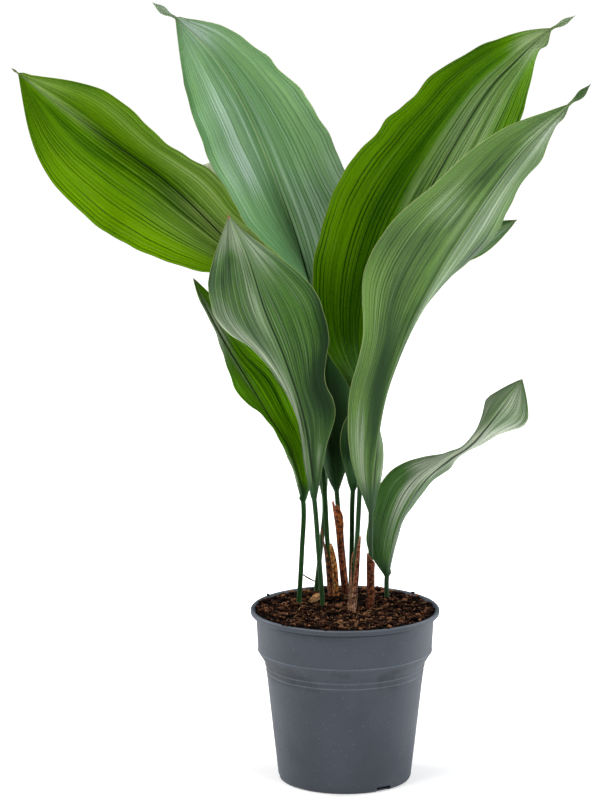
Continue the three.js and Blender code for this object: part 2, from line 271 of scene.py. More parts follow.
def useGroup(group, *values):  # the values come in the order of the group's inputs
    outputs = feed("Group", dict(enumerate(values)), node_tree=group)
    return outputs if len(outputs) > 1 else outputs[0]


def newMaterial(name):
    material = bpy.data.materials.new(name)
    material.use_nodes = True
    tree = material.node_tree
    tree.nodes.clear()
    shader = addNode(tree, "BsdfPrincipled")
    feed("OutputMaterial", {0: shader.outputs[0]})
    return material, shader, addNode(tree, "TexCoord").outputs["Object"]


def finish(shader, colour, roughness, relief, depth, specular=0.5):
    plug(shader.inputs["Base Color"], colour)
    plug(shader.inputs["Roughness"], roughness)
    shader.inputs["Specular IOR Level"].default_value = specular
    bump = feed("Bump", {"Height": relief, "Distance": depth, "Strength": 1.0})
    plug(shader.inputs["Normal"], bump[0])


# stripes that run along the piece: broad bands, veins, thin dark furrows, fewer thin pale
# threads, fine hairs and short uneven spots
def makeStripesGroup():
    inputs = {"Across": 0.0, "Along": 0.0, "Count": 8.0, "Seed": 0.0}
    outputs = ("Bands", "Veins", "Furrows", "Threads", "Hairs", "Mottle")
    tree, start, end = newGroup("Lengthwise stripes", inputs, outputs)
    spread = times(start["Across"], start["Count"])

    def layer(share, drift, shift, detail):
        x, y = times(spread, share), times(start["Along"], drift)
        parts = {"X": x, "Y": y, "Z": calc("ADD", start["Seed"], shift)}
        return noiseOf(feed("CombineXYZ", parts)[0], 1.0, detail)

    def thin(share, shift, width, strength):
        x = times(wander, 0.9, times(spread, share, shift))
        return times(remap(calc("PINGPONG", x, 1.0), 1.0 - width, 1.0), strength)

    wander = layer(0.8, 1.8, 2.1, 1.0)
    values = (remap(layer(0.7, 1.4, 0.0, 1.0), 0.36, 0.64),
              remap(layer(2.4, 2.2, 5.3, 1.5), 0.36, 0.66),
              thin(5.2, 0.0, 0.4, remap(layer(2.6, 3.0, 7.7, 1.0), 0.4, 0.6, 0.15, 1.0)),
              thin(3.1, 0.4, 0.22, remap(layer(2.2, 4.0, 9.1, 1.0), 0.42, 0.62)),
              remap(layer(7.5, 6.0, 12.3, 2.0), 0.34, 0.66),
              remap(layer(1.5, 9.0, 15.7, 2.5), 0.38, 0.62))
    for key, value in zip(outputs, values):
        plug(end[key], value)
    return tree


# soft uneven patches
def makeBlotchesGroup():
    inputs = {"Vector": None, "Size": 20.0, "Low": 0.45, "High": 0.65}
    tree, start, end = newGroup("Blotches", inputs, ["Mask"])
    value = noiseOf(start["Vector"], start["Size"], 3.0, 0.55)
    plug(end["Mask"], remap(value, start["Low"], start["High"]))
    return tree


# small separate specks, such as grit or dust
def makeSpecksGroup():
    tree, start, end = newGroup("Specks", {"Vector": None, "Scale": 400.0, "Amount": 0.2}, ["Mask"])
    cells = feed("TexVoronoi", {"Vector": start["Vector"], "Scale": start["Scale"]})
    chosen = feed("SeparateColor", {"Color": cells["Color"]})[0]
    kept = calc("LESS_THAN", chosen, start["Amount"])
    plug(end["Mask"], times(kept, remap(cells["Distance"], 0.42, 0.2)))
    return tree


stripes, blotches, specks = makeStripesGroup(), makeBlotchesGroup(), makeSpecksGroup()

# path runs from the foot up the midrib. stalk is the length of the bare stalk, and tip gives the length
# and half width of the narrow end. widths are half widths, left and right the angles by which the halves
# fold to the front, and camber how much each half is arched (left, right). ridge says which side the
# midrib stands out on: -1 the rear, 1 the front. wave is the height and number of the margin's waves,
# relief how deep the pleats are (left, right), notch how far the margins go in and out, and bumps single
# swellings of a margin (side, along, length, share of the width). opens is where the fold opens out near
# the tip, closing how much its end narrows and ribFade where the midrib fades. From corner on, the margins
# run straight to the end, which is endHalf wide. patches are (along, across, length, width, amount) and
# paint light and shade: amounts over 0 paint sheen in paler tones, under 0 paint shade in darker ones,
# the lowest in the deep shade tone. glow, listed the same way, paints fresh yellow green, partly the
# leaf's own fresher colour and partly painted light.
leaves = {
    "far_left_leaf": dict(
        path=[[-8, 40, 124], [-11, 47, 152], [-16, 63, 200], [-19, 84, 247], [-25, 112, 318],
              [-47, 140, 383], [-81, 156, 435], [-116, 160, 472], [-167, 151, 523], [-232, 130, 574],
              [-302, 100, 632]], stalk=150, widths=[14, 26, 40, 57, 70, 74, 53],
        left=[28, 38, 65, 19, 14, -10], right=[-1, -4, 10, 31, 61, 66, 74, 55, 52], camber=(9, 8),
        tip=[9, 0.7], tipTone=(120, 104, 50), wave=[1.6, 6], relief=(1.3, 1.4), notch=(0.010, 0.012),
        pleats=8, colours="fresh",
        patches=[(0.7, 0.03, 0.15, 0.05, -0.5), (0.9, 0.03, 0.1, 0.1, 0.9), (0.8, 0.75, 0.1, 0.2, 0.3),
                 (0.5, -0.1, 0.1, 0.35, 1.8), (0.42, 0.6, 0.13, 0.5, 1.2), (0.63, 0.8, 0.09, 0.35, 1.0),
                 (0.97, 0.4, 0.05, 0.4, 0.7), (0.95, -0.8, 0.08, 0.5, -0.5), (0.25, 0.2, 0.14, 0.8, 0.6)],
        glow=[(0.6, -0.75, 0.45, 0.35, 0.9), (0.72, 0.5, 0.25, 0.4, 0.7), (0.3, 0.8, 0.2, 0.5, 0.9)]),
    "tall_left_leaf": dict(
        path=[[4, 50, 123], [1, 54, 152], [-4, 61, 200], [-8, 74, 249], [-14, 92, 301], [-24, 112, 372],
              [-34, 124, 433], [-54, 132, 498], [-89, 138, 585], [-120, 138, 638], [-150, 134, 670],
              [-163, 130, 679], [-176, 126, 689]], stalk=128, widths=[28, 42, 58, 72, 72, 75, 50],
        left=[20, 67, 63, 75, 88, 70, 54, 50, 45, 30, -15], right=[10, 14, 11, 30, 51, 42], camber=(8, 9),
        tip=[27, 3.3], tipTone=(170, 194, 160), wave=[1.2, 7], relief=(0.8, 1.2),
        bumps=[(1, 0.935, 0.012, 0.09), (1, 0.885, 0.015, -0.03), (1, 0.845, 0.015, 0.06),
               (1, 0.77, 0.016, 0.04)], notch=(0.012, 0.034), pleats=8, colours="waxy",
        ribFade=(0.42, 0.72),
        patches=[(0.8, -0.45, 0.09, 0.3, 1.0), (0.67, -0.55, 0.06, 0.4, 1.0),
                 (0.46, -0.7, 0.12, 0.45, -0.9), (0.78, -1.0, 0.25, 0.14, -0.9),
                 (0.72, -0.03, 0.12, 0.04, -0.5), (0.68, 0.14, 0.2, 0.06, 0.3), (0.97, 0.3, 0.05, 0.5, 1.6),
                 (0.43, -0.18, 0.1, 0.18, 0.9), (0.52, 0.6, 0.1, 0.5, 0.9), (0.74, -0.14, 0.12, 0.12, 0.5),
                 (0.9, -0.95, 0.08, 0.2, -0.5), (0.08, 0.0, 0.15, 1.2, -1.9), (0.22, 0.2, 0.1, 0.8, -0.8)],
        glow=[(0.75, 0.7, 0.3, 0.3, 0.5), (0.35, -0.5, 0.12, 0.4, 0.5)]),
    "front_left_leaf": dict(
        path=[[-19, 21, 122], [-20, 18, 152], [-24, 12, 207], [-28, 2, 259], [-37, -20, 333],
              [-54, -42, 392], [-72, -60, 440], [-85, -78, 486], [-101, -95, 528]], stalk=136,
        widths=[14, 31, 29, 44, 52, 45, 28], left=[-49, -80, -67, -45, -22, -25],
        right=[-15, -28, -5, -15, -64, -83], camber=(7, 6), tipTone=(196, 104, 66), ridge=1, wave=[0.8, 4],
        relief=(1.5, 1.3), notch=(0.010, 0.012), pleats=7, colours="grey",
        patches=[(0.97, 0.0, 0.1, 0.9, 0.9), (0.84, 0.7, 0.07, 0.4, 0.6), (0.86, -0.45, 0.03, 0.14, -0.6),
                 (0.79, -0.75, 0.05, 0.25, -0.4), (0.57, -1.0, 0.1, 0.3, 1.5), (0.4, -0.6, 0.1, 0.35, 1.3),
                 (0.27, -0.45, 0.08, 0.28, 1.3), (0.27, -0.06, 0.06, 0.07, -1.4),
                 (0.34, 0.7, 0.14, 0.45, -1.3), (0.54, 1.0, 0.13, 0.25, -1.1),
                 (0.68, -0.12, 0.12, 0.12, 0.35), (0.15, 0.15, 0.1, 0.2, -0.6),
                 (0.15, 0.6, 0.05, 0.25, 0.5), (0.15, -0.6, 0.07, 0.4, 0.8)],
        glow=[(0.75, 0.4, 0.3, 0.5, 0.4), (0.52, 0.85, 0.14, 0.3, 0.9), (0.3, 0.7, 0.14, 0.4, 0.4)]),
    "tall_right_leaf": dict(
        path=[[3, 66, 125], [5, 66, 155], [6, 66, 199], [7, 62, 253], [13, 56, 318], [28, 52, 401],
              [47, 50, 466], [75, 46, 531], [120, 36, 612], [152, 26, 650], [176, 16, 674], [188, 9, 682],
              [200, 3, 690]], opens=0.94, stalk=126, widths=[27, 47, 67, 77, 73, 61, 39],
        left=[32, 48, 77, 28, 9, -2, 12, 25, 30, 30, -13], right=[-53, -63, -60, -59, -46, -85],
        camber=(9, 6), tip=[27, 2.4], tipTone=(164, 190, 150), wave=[1.4, 6], relief=(1.0, 2.4),
        bumps=[(-1, 0.9, 0.02, 0.07), (-1, 0.86, 0.02, -0.03), (-1, 0.8, 0.02, 0.05),
               (-1, 0.76, 0.015, -0.03), (-1, 0.7, 0.02, 0.04), (-1, 0.65, 0.02, -0.02)],
        notch=(0.016, 0.012), pleats=8, colours="deep", ribFade=(0.9, 1.0),
        patches=[(0.74, -0.1, 0.18, 0.14, 1.5), (0.6, -0.42, 0.3, 0.12, -0.6), (0.74, 0.25, 0.18, 0.3, 0.8),
                 (0.98, 0.0, 0.05, 0.8, 2.2), (0.7, -0.72, 0.2, 0.1, -0.45), (0.61, 0.65, 0.06, 0.3, 0.6),
                 (0.48, 0.05, 0.07, 0.3, -0.5), (0.88, -1.0, 0.07, 0.3, -0.6), (0.8, 1.0, 0.1, 0.25, -0.5),
                 (0.06, 0.0, 0.13, 1.2, -2.2), (0.32, -0.75, 0.12, 0.4, -0.6)],
        glow=[(0.55, -0.8, 0.45, 0.36, 1.0), (0.84, 0.85, 0.16, 0.25, 1.0)]),
    "front_right_leaf": dict(
        path=[[23, 22, 122], [23, 18, 152], [23, 12, 198], [23, 2, 247], [26, -14, 298], [34, -36, 354],
              [48, -54, 403], [65, -66, 445], [98, -80, 505], [145, -92, 577], [187, -100, 622],
              [198, -102, 632], [208, -104, 643]], opens=0.95, stalk=124,
        widths=[23, 33, 37, 57, 64, 47, 26], left=[-11, -17, -17, 25, 20, -33],
        right=[-49, -67, -105, -107, -92, -86, -74, -68, -66, -55, -80], camber=(-8, 6), tip=[27, 3.0],
        tipTone=(64, 104, 50), ridge=1, wave=[0.8, 6], relief=(1.1, 2.4), notch=(0.008, 0.024),
        bumps=[(1, 0.885, 0.035, 0.17), (1, 0.815, 0.025, -0.10), (1, 0.75, 0.03, 0.06)], pleats=8,
        colours="streaked",
        patches=[(0.66, 0.3, 0.25, 0.25, 0.9), (0.5, -0.4, 0.3, 0.16, -0.4), (0.34, -0.25, 0.12, 0.3, -0.9),
                 (0.2, -0.15, 0.1, 0.25, -0.8), (0.27, -0.9, 0.08, 0.25, -0.5),
                 (0.14, -0.6, 0.12, 0.3, 0.9), (0.0, -0.6, 0.05, 0.35, 1.2), (0.0, 0.5, 0.05, 0.4, -1.3),
                 (0.08, 0.7, 0.03, 0.4, 0.9), (0.61, 0.7, 0.06, 0.35, -1.0), (0.7, -0.45, 0.06, 0.25, 0.6),
                 (0.94, 0.4, 0.06, 0.6, 0.9), (0.6, -0.85, 0.07, 0.3, -0.6),
                 (0.8, -0.28, 0.05, 0.12, -0.7)],
        glow=[(0.5, -0.85, 0.4, 0.25, 0.9), (0.62, 0.9, 0.3, 0.15, 0.6)]),
    "back_right_leaf": dict(
        path=[[4, 5, 122], [6, 8, 152], [10, 12, 205], [13, 19, 264], [14, 22, 300], [18, 25, 336],
              [27, 29, 376], [47, 35, 422], [75, 40, 453], [110, 43, 480], [153, 46, 503]], stalk=141,
        widths=[10, 14, 16, 18, 22, 22, 16], left=[55, 65, 68, 66, 58, 35, 20, 30],
        right=[55, 65, 68, 68, 72, 78, 40, 6], camber=(4, 4), wave=[0.6, 4], notch=(0.012, 0.012), pleats=6,
        colours="shade",
        patches=[(0.9, 0.3, 0.16, 0.8, 1.1), (0.88, -0.6, 0.15, 0.3, -0.7)]),
    "low_left_leaf": dict(
        path=[[-44, 17, 122], [-42, 18, 152], [-39, 20, 205], [-38, 24, 251], [-49, 31, 293],
              [-68, 36, 324], [-86, 38, 354], [-104, 38, 384], [-121, 33, 417], [-136, 26, 453]], stalk=128,
        widths=[20, 33, 42, 45, 28, 21, 12], left=[82, 85, 84, 69, 88, 68], right=[41, 20, 10, 10, 12, 12],
        camber=(5, 8), wave=[1.0, 4], relief=(1.6, 2.0), notch=(0.014, 0.014), pleats=7, colours="low",
        patches=[(0.5, 0.35, 0.35, 0.1, -0.6), (0.79, -0.4, 0.1, 0.7, 1.7), (0.86, 1.0, 0.1, 0.15, -1.2),
                 (1.0, 0.0, 0.03, 1.0, -2.0), (0.07, -1.0, 0.1, 0.3, 2.0), (0.45, -1.0, 0.12, 0.2, -0.6),
                 (0.6, -0.1, 0.12, 0.12, 0.4)],
        glow=[(0.45, 0.6, 0.4, 0.5, 1.0), (0.6, -0.3, 0.2, 0.3, 0.5)]),
    "small_right_leaf": dict(
        path=[[38, 44, 122], [38, 43, 152], [38, 42, 177], [42, 38, 206], [51, 32, 236], [70, 22, 269],
              [92, 12, 291], [113, 4, 308], [136, 6, 336], [158, 20, 363]], stalk=54,
        widths=[24, 28, 32, 20, 7, 17, 28], left=[9, 18, -37, -68, -66, -45],
        right=[-80, -82, -78, -68, -46, 29], camber=(6, 4), ridge=1, wave=[0.6, 4], relief=(1.8, 1.5),
        corner=0.9, endHalf=0.8, notch=(0.014, 0.014), pleats=6, colours="shade",
        patches=[(0.38, -0.22, 0.18, 0.14, 1.3), (0.16, -0.7, 0.18, 0.35, -0.9),
                 (0.5, -0.5, 0.07, 0.6, 2.0), (0.14, 0.14, 0.18, 0.12, -2.4), (0.66, 0.4, 0.1, 1.0, 2.0),
                 (0.84, -0.9, 0.08, 0.3, 1.2), (0.8, 0.95, 0.06, 0.3, 1.3), (0.92, 0.1, 0.1, 0.8, 0.5)],
        glow=[(0.25, -0.75, 0.25, 0.4, 0.8)]),
    "dry_tip_leaf": dict(
        path=[[-30, 52, 124], [-27, 60, 153], [-22, 76, 197], [-19, 96, 230], [-24, 122, 267],
              [-40, 158, 306], [-64, 186, 358], [-92, 204, 416], [-112, 212, 472], [-129, 214, 530]],
        stalk=122, widths=[8, 14, 20, 23, 22, 18, 13], left=[10, 10], right=[10, 10], camber=(6, 6),
        corner=0.93, endHalf=9, closing=0.2, wave=[1.2, 5], notch=(0.06, 0.06), pleats=6, colours="dry",
        patches=[(1.0, 0.0, 0.1, 1.5, 1.0)]),
}

# what a leaf has where its own entry says nothing else
plainLeaf = dict(ridge=-1, tip=[0, 0], relief=(1, 1), opens=0.985, closing=0.75, corner=None, bumps=[],
                 glow=[], ribFade=(0.76, 0.98))
leaves = {name: {**plainLeaf, **leaf} for name, leaf in leaves.items()}

leafBuild = dict(stalkHalf=2.2, thickness=0.33, marginThickness=0.2, columns=56, rowStep=3.0, stalkRows=34,
                 tipRows=16, pleatHeight=0.2)


# how far the blade folds and curls at each point: the angle of the surface across the leaf
def surfaceAngles(leaf, v, offset, half, flat):
    opening = smoothStep(v, 0, 0.03) * (1 - smoothStep(v, leaf["opens"], 1.0))
    left, right = (np.radians(smoothThrough(leaf[key], v)) * opening for key in ("left", "right"))
    curl = opening * flat * (1 - 2 * np.abs(offset) / half)
    leftCurl, rightCurl = (np.radians(camber) * curl for camber in leaf["camber"])
    target = np.where(offset < 0, left + leftCurl, -right - rightCurl)
    centre, bend = (left - right) / 2, np.minimum(3.5, 0.3 * half)
    return centre + (target - centre) * smoothStep(np.abs(offset) / bend, 0, 1)


# sums of the listed soft patches at each point
def patchValues(patches, v, u):
    total = np.zeros(np.broadcast(v, u).shape)
    for along, across, length, width, amount in patches:
        total += amount * np.exp(-((v - along) / length) ** 2 - ((u - across) / width) ** 2)
    return total


# half widths along the leaf. q runs over the narrow end.
def halfWidths(leaf, v, q):
    tipHalf, corner = leaf["tip"][1], leaf["corner"]
    half = np.maximum(smoothThrough([2, *leaf["widths"], 1.2 if tipHalf else 0.5], v), 0.8)
    half = np.where(v <= 0, leafBuild["stalkHalf"], half)
    if corner:
        widest = np.interp(corner, v, half)
        straight = widest + (leaf["endHalf"] - widest) * (v - corner) / (1 - corner)
        half = np.where(v > corner, np.maximum(straight, leaf["endHalf"]), half)
    if not tipHalf:
        return half * (1 - leaf["closing"] * smoothStep(v, 0.985, 1.0))
    # a narrow neck, then the spoon-shaped end
    t = np.clip(q, 0, 1)
    neck = 0.45 + 0.3 * min(tipHalf, 2.8)
    swell = neck * (1 - t) + 0.15 + 0.86 * tipHalf * np.sin(np.pi * smoothStep(t, 0.12, 1.0)) ** 0.9
    return np.where(q > 0, swell, half)


def makeLeaf(name, leaf, seed):
    route = routeOf(leaf["path"])
    total, stalk, tip = route[1][-1], leaf["stalk"], leaf["tip"][0]
    blade = total - stalk - tip
    distance = [np.linspace(0, stalk, leafBuild["stalkRows"], endpoint=False),
                stalk + np.linspace(0, blade, int(blade / leafBuild["rowStep"]))]
    if tip:
        distance.append(total - tip + np.linspace(0, tip, leafBuild["tipRows"])[1:])
    distance = np.concatenate(distance)
    v = np.clip((distance - stalk) / blade, 0, 1)
    half = halfWidths(leaf, v, (distance - total + tip) / tip if tip else None)
    flat = smoothStep(v, 0, 0.2)

    # from here on, rows run along the leaf and columns across it
    u = np.linspace(-1, 1, 2 * leafBuild["columns"] + 1)
    u = u[None, :] * flat[:, None] + np.sin(np.pi / 2 * u)[None, :] * (1 - flat)[:, None]
    side, share, left = np.sign(u), np.abs(u), u < 0
    v, half, flat = v[:, None], half[:, None], flat[:, None]
    fade = flat * np.sin(np.pi * v) ** 0.6

    # the margins go in and out a little
    notch = 0.5 * np.sin(31 * v + 2.1 * side + seed) + 0.35 * np.sin(57 * v + 4.0 * side + 2 * seed)
    notch = (notch + 0.25 * np.sin(113 * v + side + 3 * seed)) * np.where(left, *leaf["notch"])
    for bumpSide, place, length, amount in leaf["bumps"]:
        notch = notch + amount * (side == bumpSide) * np.exp(-((v - place) / length) ** 2)
    offset = u * half * (1 + notch * share ** 3 * fade)

    angle = surfaceAngles(leaf, v, offset, half, flat)
    middle, step = 0.5 * (angle[:, 1:] + angle[:, :-1]), np.diff(offset, axis=1)

    def reach(steps):  # sums the steps across, counted from the midrib
        sums = np.concatenate([np.zeros((len(steps), 1)), np.cumsum(steps, axis=1)], axis=1)
        return sums - sums[:, leafBuild["columns"], None]

    sideways, forward = reach(np.cos(middle) * step), reach(-np.sin(middle) * step)

    waveHeight, waveCount = leaf["wave"]
    wave = waveHeight * share ** 2 * np.sin(2 * np.pi * waveCount * v + side)
    wave += 0.35 * waveHeight * share ** 5 * np.sin(2 * np.pi * 2.7 * waveCount * v + 2 * side + seed)
    wave += 0.5 * share * np.sin(19 * v + 5 * u + seed) * np.sin(7 * u + 11 * v)
    drift = 0.5 * np.sin(3 * v + seed) + 0.4 * np.sin(9 * v + 2 * seed)
    turn = 2 * np.pi * leaf["pleats"] * share + drift
    pleat = 0.55 * np.cos(turn) + 0.35 * np.cos(1.63 * turn + 1 + side) + 0.2 * np.cos(0.61 * turn + 2 + seed)
    pleat *= smoothStep(share, 0.03, 0.14) * (1.25 - 0.75 * share) * fade
    pleat = pleat * np.where(left, *leaf["relief"])
    lift = wave * fade + pleat * leafBuild["pleatHeight"] * np.clip(half / 45, 0.1, 1.25)

    # the stalk is round behind and channelled in front, the blade thin with a rib on one side
    ribHalf = np.minimum(1.8 - 1.1 * v, 0.6 * half)
    rib = (1.4 - 1.2 * v) * np.minimum(half / leafBuild["stalkHalf"], 1)
    rib = rib * np.exp(-(offset / (0.72 * ribHalf)) ** 2)
    groove = 0.32 * np.exp(-(offset / 0.8) ** 2) * np.minimum(half / 8, 1)
    rounded = 0.2 + 1.25 * np.sqrt(np.maximum(1 - u ** 2, 0))
    thin = leafBuild["thickness"] + (leafBuild["marginThickness"] - leafBuild["thickness"]) * share ** 4
    ribbed = (1 - flat) * (rounded + 0.3 * (1 - share)) + flat * (thin + rib)
    plain = (1 - flat) * (rounded - 0.5 * np.exp(-(u / 0.42) ** 2)) + flat * (thin - groove)
    frontHeight, rearHeight = (ribbed, plain) if leaf["ridge"] > 0 else (plain, ribbed)

    point, across, front = (row[:, None] for row in placesAlong(route, distance))
    normal = across * np.sin(angle)[..., None] + front * np.cos(angle)[..., None]
    surface = point + across * sideways[..., None] + front * forward[..., None]
    frontFace = surface + normal * (lift + frontHeight)[..., None]
    rearFace = surface + normal * (lift - rearHeight)[..., None]
    along = np.clip((distance - stalk) / blade, -0.4, 1.1)[:, None]
    upper = (1.0, 0.0) if leaf["ridge"] < 0 else (0.0, 1.0)
    tint, glow = (patchValues(leaf[key], v, u) for key in ("patches", "glow"))
    return addSheet(name, frontFace, rearFace, across=u, along=along, rib=offset, edge=half * (1 - share),
                    upper=upper, blade=flat, fold=pleat * 0.5, tint=tint, glow=glow)


# each kind of leaf: the upper side's dark, middle and pale tones and its fresh one, then the same for
# the underside. The pale tones colour the painted sheen and the pale threads, and the kinds differ partly
# by the light and shade painted into them for leaves that lie in more or less light. gloss is its shine
# and threads how much its pale lines show.
leafColours = {
    "fresh": dict(
        gloss=0.03, threads=0.16, slot="leaf_bright",
        upper=[(30, 74, 0), (80, 132, 0), (178, 208, 116), (126, 176, 0)],
        under=[(62, 96, 46), (86, 122, 66), (132, 158, 112), (104, 140, 56)]),
    "waxy": dict(
        gloss=0.3, threads=0.34, slot="leaf_pale",
        upper=[(84, 134, 78), (154, 198, 152), (208, 232, 220), (150, 196, 124)],
        under=[(66, 100, 60), (96, 130, 86), (146, 170, 134), (110, 146, 80)]),
    "deep": dict(
        gloss=0.03, threads=0.14, slot="leaf_dark",
        upper=[(16, 64, 0), (66, 124, 0), (166, 192, 132), (110, 162, 0)],
        under=[(56, 92, 48), (80, 118, 68), (130, 158, 118), (96, 134, 60)]),
    "low": dict(
        gloss=0.05, threads=0.14, slot="leaf_dark",
        upper=[(20, 66, 0), (84, 142, 0), (212, 226, 198), (118, 180, 0)],
        under=[(56, 92, 48), (100, 140, 84), (212, 226, 198), (96, 134, 60)]),
    "grey": dict(
        gloss=0.16, threads=0.34, slot="leaf_pale",
        upper=[(34, 76, 24), (58, 104, 38), (110, 146, 92), (82, 128, 24)],
        under=[(26, 58, 18), (86, 120, 72), (206, 220, 192), (84, 132, 40)]),
    "streaked": dict(
        gloss=0.3, threads=0.34, slot="leaf_pale",
        upper=[(34, 76, 24), (58, 104, 38), (110, 146, 92), (82, 128, 24)],
        under=[(30, 68, 18), (92, 132, 60), (196, 214, 184), (122, 164, 74)]),
    "shade": dict(
        gloss=0.3, threads=0.34, slot="leaf_pale",
        upper=[(30, 70, 24), (60, 104, 46), (140, 172, 132), (74, 120, 30)],
        under=[(34, 72, 20), (104, 142, 84), (236, 246, 224), (70, 130, 26)]),
    "dry": dict(
        gloss=0.3, threads=0.34, slot="leaf_bright",
        upper=[(70, 96, 50), (98, 122, 68), (214, 212, 172), (120, 140, 60)],
        under=[(76, 100, 58), (104, 128, 80), (190, 180, 142), (120, 140, 70)]),
}
# the tones of the deepest painted shade, of the painted shade along the midrib and of the painted highlights
# on the stalk's sides are set here; the crest and crease values say how strongly the pleats' crests and
# creases are painted light and shade; the margin tone is partly painted light
leafFinish = dict(roughness=0.40, underRoughness=0.46, veinBump=0.0005, margin=(186, 200, 128), crestHighlight=0.3,
                  creaseShade=0.4, hairs=0.24, mottle=0.36, ribPale=(150, 182, 120), ribShade=(12, 36, 8),
                  deep=(14, 40, 8), dried=(218, 224, 196), stalk=(34, 76, 32), stalkHighlight=(112, 146, 98))


def makeLeafMaterial(name, leaf, seed):
    material, shader, place = newMaterial(name.replace("_", " "))
    across, along, rib, edge, upper = attributesOf(material, "across along rib edge upper")
    blade, tint, glow, fold = attributesOf(material, "blade tint glow fold")
    tones, tune = leafColours[leaf["colours"]], leafFinish
    lines = useGroup(stripes, across, along, leaf["pleats"], seed * 3.7)
    patch = useGroup(blotches, place, 30.0, 0.38, 0.64)
    grain = noiseOf(place, 1400.0)
    # painted light and shade from the patches: sheen where they are over 0, shade under 0 and deep shade far
    # under 0
    paintedSheen = calc("MAXIMUM", tint, 0.0)
    paintedShade = times(calc("MINIMUM", tint, 0.0), -0.8, clamp=True)
    paintedDeepShade = remap(tint, -0.7, -1.9, 0.0, 0.92)
    streak = times(lines["Veins"], 0.5, times(lines["Bands"], 0.5))
    # the lines grow faint where the leaf is narrow
    offRib = calc("ABSOLUTE", rib)
    room = remap(calc("ADD", edge, offRib), 2.0, 14.0, 0.15, 1.0)
    furrows, threads = (times(lines[key], room) for key in ("Furrows", "Threads"))
    # painted shade in the creases of the pleats and painted highlights on their crests
    creaseShade, crestHighlight = remap(fold, -0.1, -0.75), remap(fold, 0.15, 0.8)

    def faceColour(dark, middle, pale, fresh):
        # paler: painted sheen in soft patches, strongest along the streaks, and the leaf's pale tone in a few
        # thin threads
        paler = times(paintedSheen, remap(streak, 0.2, 0.8, 0.3, 1.05))
        paler = times(threads, tones["threads"], paler, clamp=True)
        # fresher: random patches and mottle of fresh green, with painted highlights on the pleats' crests
        fresher = times(patch, 0.2, times(crestHighlight, tune["crestHighlight"]))
        fresher = times(lines["Mottle"], tune["mottle"], fresher, clamp=True)
        # darker: the leaf's hairs, furrows and grain, with painted shade in dark patches and in the pleats'
        # creases
        darker = times(lines["Hairs"], tune["hairs"], times(furrows, 0.75, paintedShade))
        darker = times(creaseShade, tune["creaseShade"], darker)
        darker = calc("ADD", darker, remap(grain, 0.48, 0.72, 0.0, 0.3), clamp=True)
        plain = mixColours(remap(streak, 0.0, 1.0, 0.3, 1.0), dark, middle)
        # coats in order: glow in fresh yellow green (partly the leaf's own colour, partly painted light),
        # fresher, paler with painted sheen, darker with painted shade, and the deepest painted shade
        return coat(plain, (times(glow, 0.9, clamp=True), fresh), (fresher, fresh),
                    (paler, pale), (darker, dark), (paintedDeepShade, tune["deep"]))

    # the midrib: a pale line along it, and painted shade as a thin dark line in the groove on the upper side
    # and beside the raised ridge on the other
    nearTip = remap(along, *leaf["ribFade"])
    paleRib = times(remap(offRib, 1.2, 0.5), times(nearTip, 0.35, 0.25))
    beside = calc("ABSOLUTE", calc("ADD", rib, times(upper, 1.1, -1.1)))
    ribShadeMask = times(remap(beside, 1.15, 0.4), times(nearTip, -0.7, 0.92))
    # a pale line along the margins: partly the edge's own paler tone, partly painted light where the thin
    # edge catches it
    margin = times(remap(edge, 0.75, 0.25), times(blade, 0.5))
    colour = mixColours(upper, faceColour(*tones["under"]), faceColour(*tones["upper"]))
    colour = coat(colour, (paleRib, tune["ribPale"]), (ribShadeMask, tune["ribShade"]),
                  (margin, tune["margin"]))
    # the narrow end, or the last point of a leaf that has none, has its own tone
    if "tipTone" in leaf:
        start, end = (1.0, 1.03) if leaf["tip"][0] else (0.985, 0.998)
        colour = mixColours(remap(along, start, end, 0.0, 0.75), colour, leaf["tipTone"])
    # the stalk is dark green with painted highlights as pale lines along its sides
    stalkSideHighlight = remap(calc("ABSOLUTE", across), 0.6, 0.95)
    stalkSideHighlight = times(stalkSideHighlight, 0.4, times(lines["Veins"], 0.25))
    stalkColour = mixColours(stalkSideHighlight, tune["stalk"], tune["stalkHighlight"])
    colour = mixColours(remap(blade, 0.03, 0.4), stalkColour, colour)
    if leaf["colours"] == "dry":
        ragged = times(patch, 0.05, along)
        colour = mixColours(remap(ragged, 0.93, 1.0), colour, tune["dried"])

    wax = times(lines["Bands"], -0.08, times(patch, 0.05))
    rough = times(upper, tune["roughness"] - tune["underRoughness"], tune["underRoughness"])
    relief = times(lines["Furrows"], -0.8, times(lines["Veins"], 0.6))
    finish(shader, colour, calc("ADD", rough, wax), times(grain, 0.12, relief),
           tune["veinBump"], tones["gloss"])
    return material


for number, (name, leaf) in enumerate(leaves.items(), 1):
    piece, slot = makeLeaf("visual_" + name, leaf, float(number)), leafColours[leaf["colours"]]["slot"]
    dress(piece, makeLeafMaterial(name, leaf, float(number)), name)
print("leaves made")


# outlines as (radius, height), from the underside up and back down inside
potShape = dict(
    outside=[(0, 0), (57, 0), (59.1, 0.9), (60, 3), (70.8, 99.4), (71.15, 99.8), (71.15, 100.4),
             (70.95, 100.8), (71.3, 104.4), (72.1, 105.3), (72.1, 108.4), (77.9, 118.0), (78.7, 118.9),
             (78.7, 119.9), (78.35, 120.4), (80.0, 150.2), (79.7, 151.1), (80.3, 152), (84.2, 152.2),
             (85, 153.2), (85, 155.9), (84.1, 157)],
    inside=[(82.4, 157), (78.8, 152), (76.7, 119), (70.4, 109), (69.8, 104.5), (58.4, 3.8), (57.2, 1.6),
            (0, 1.6)],
    rounding=0.35, roundSteps=4, longestFace=6.0, sides=192, sharpAngle=35,
    slots=3, firstSlot=36, slotWidth=15, slotHeight=5.2, slotFoot=-0.6, slotReach=(-64.5, -55.5))
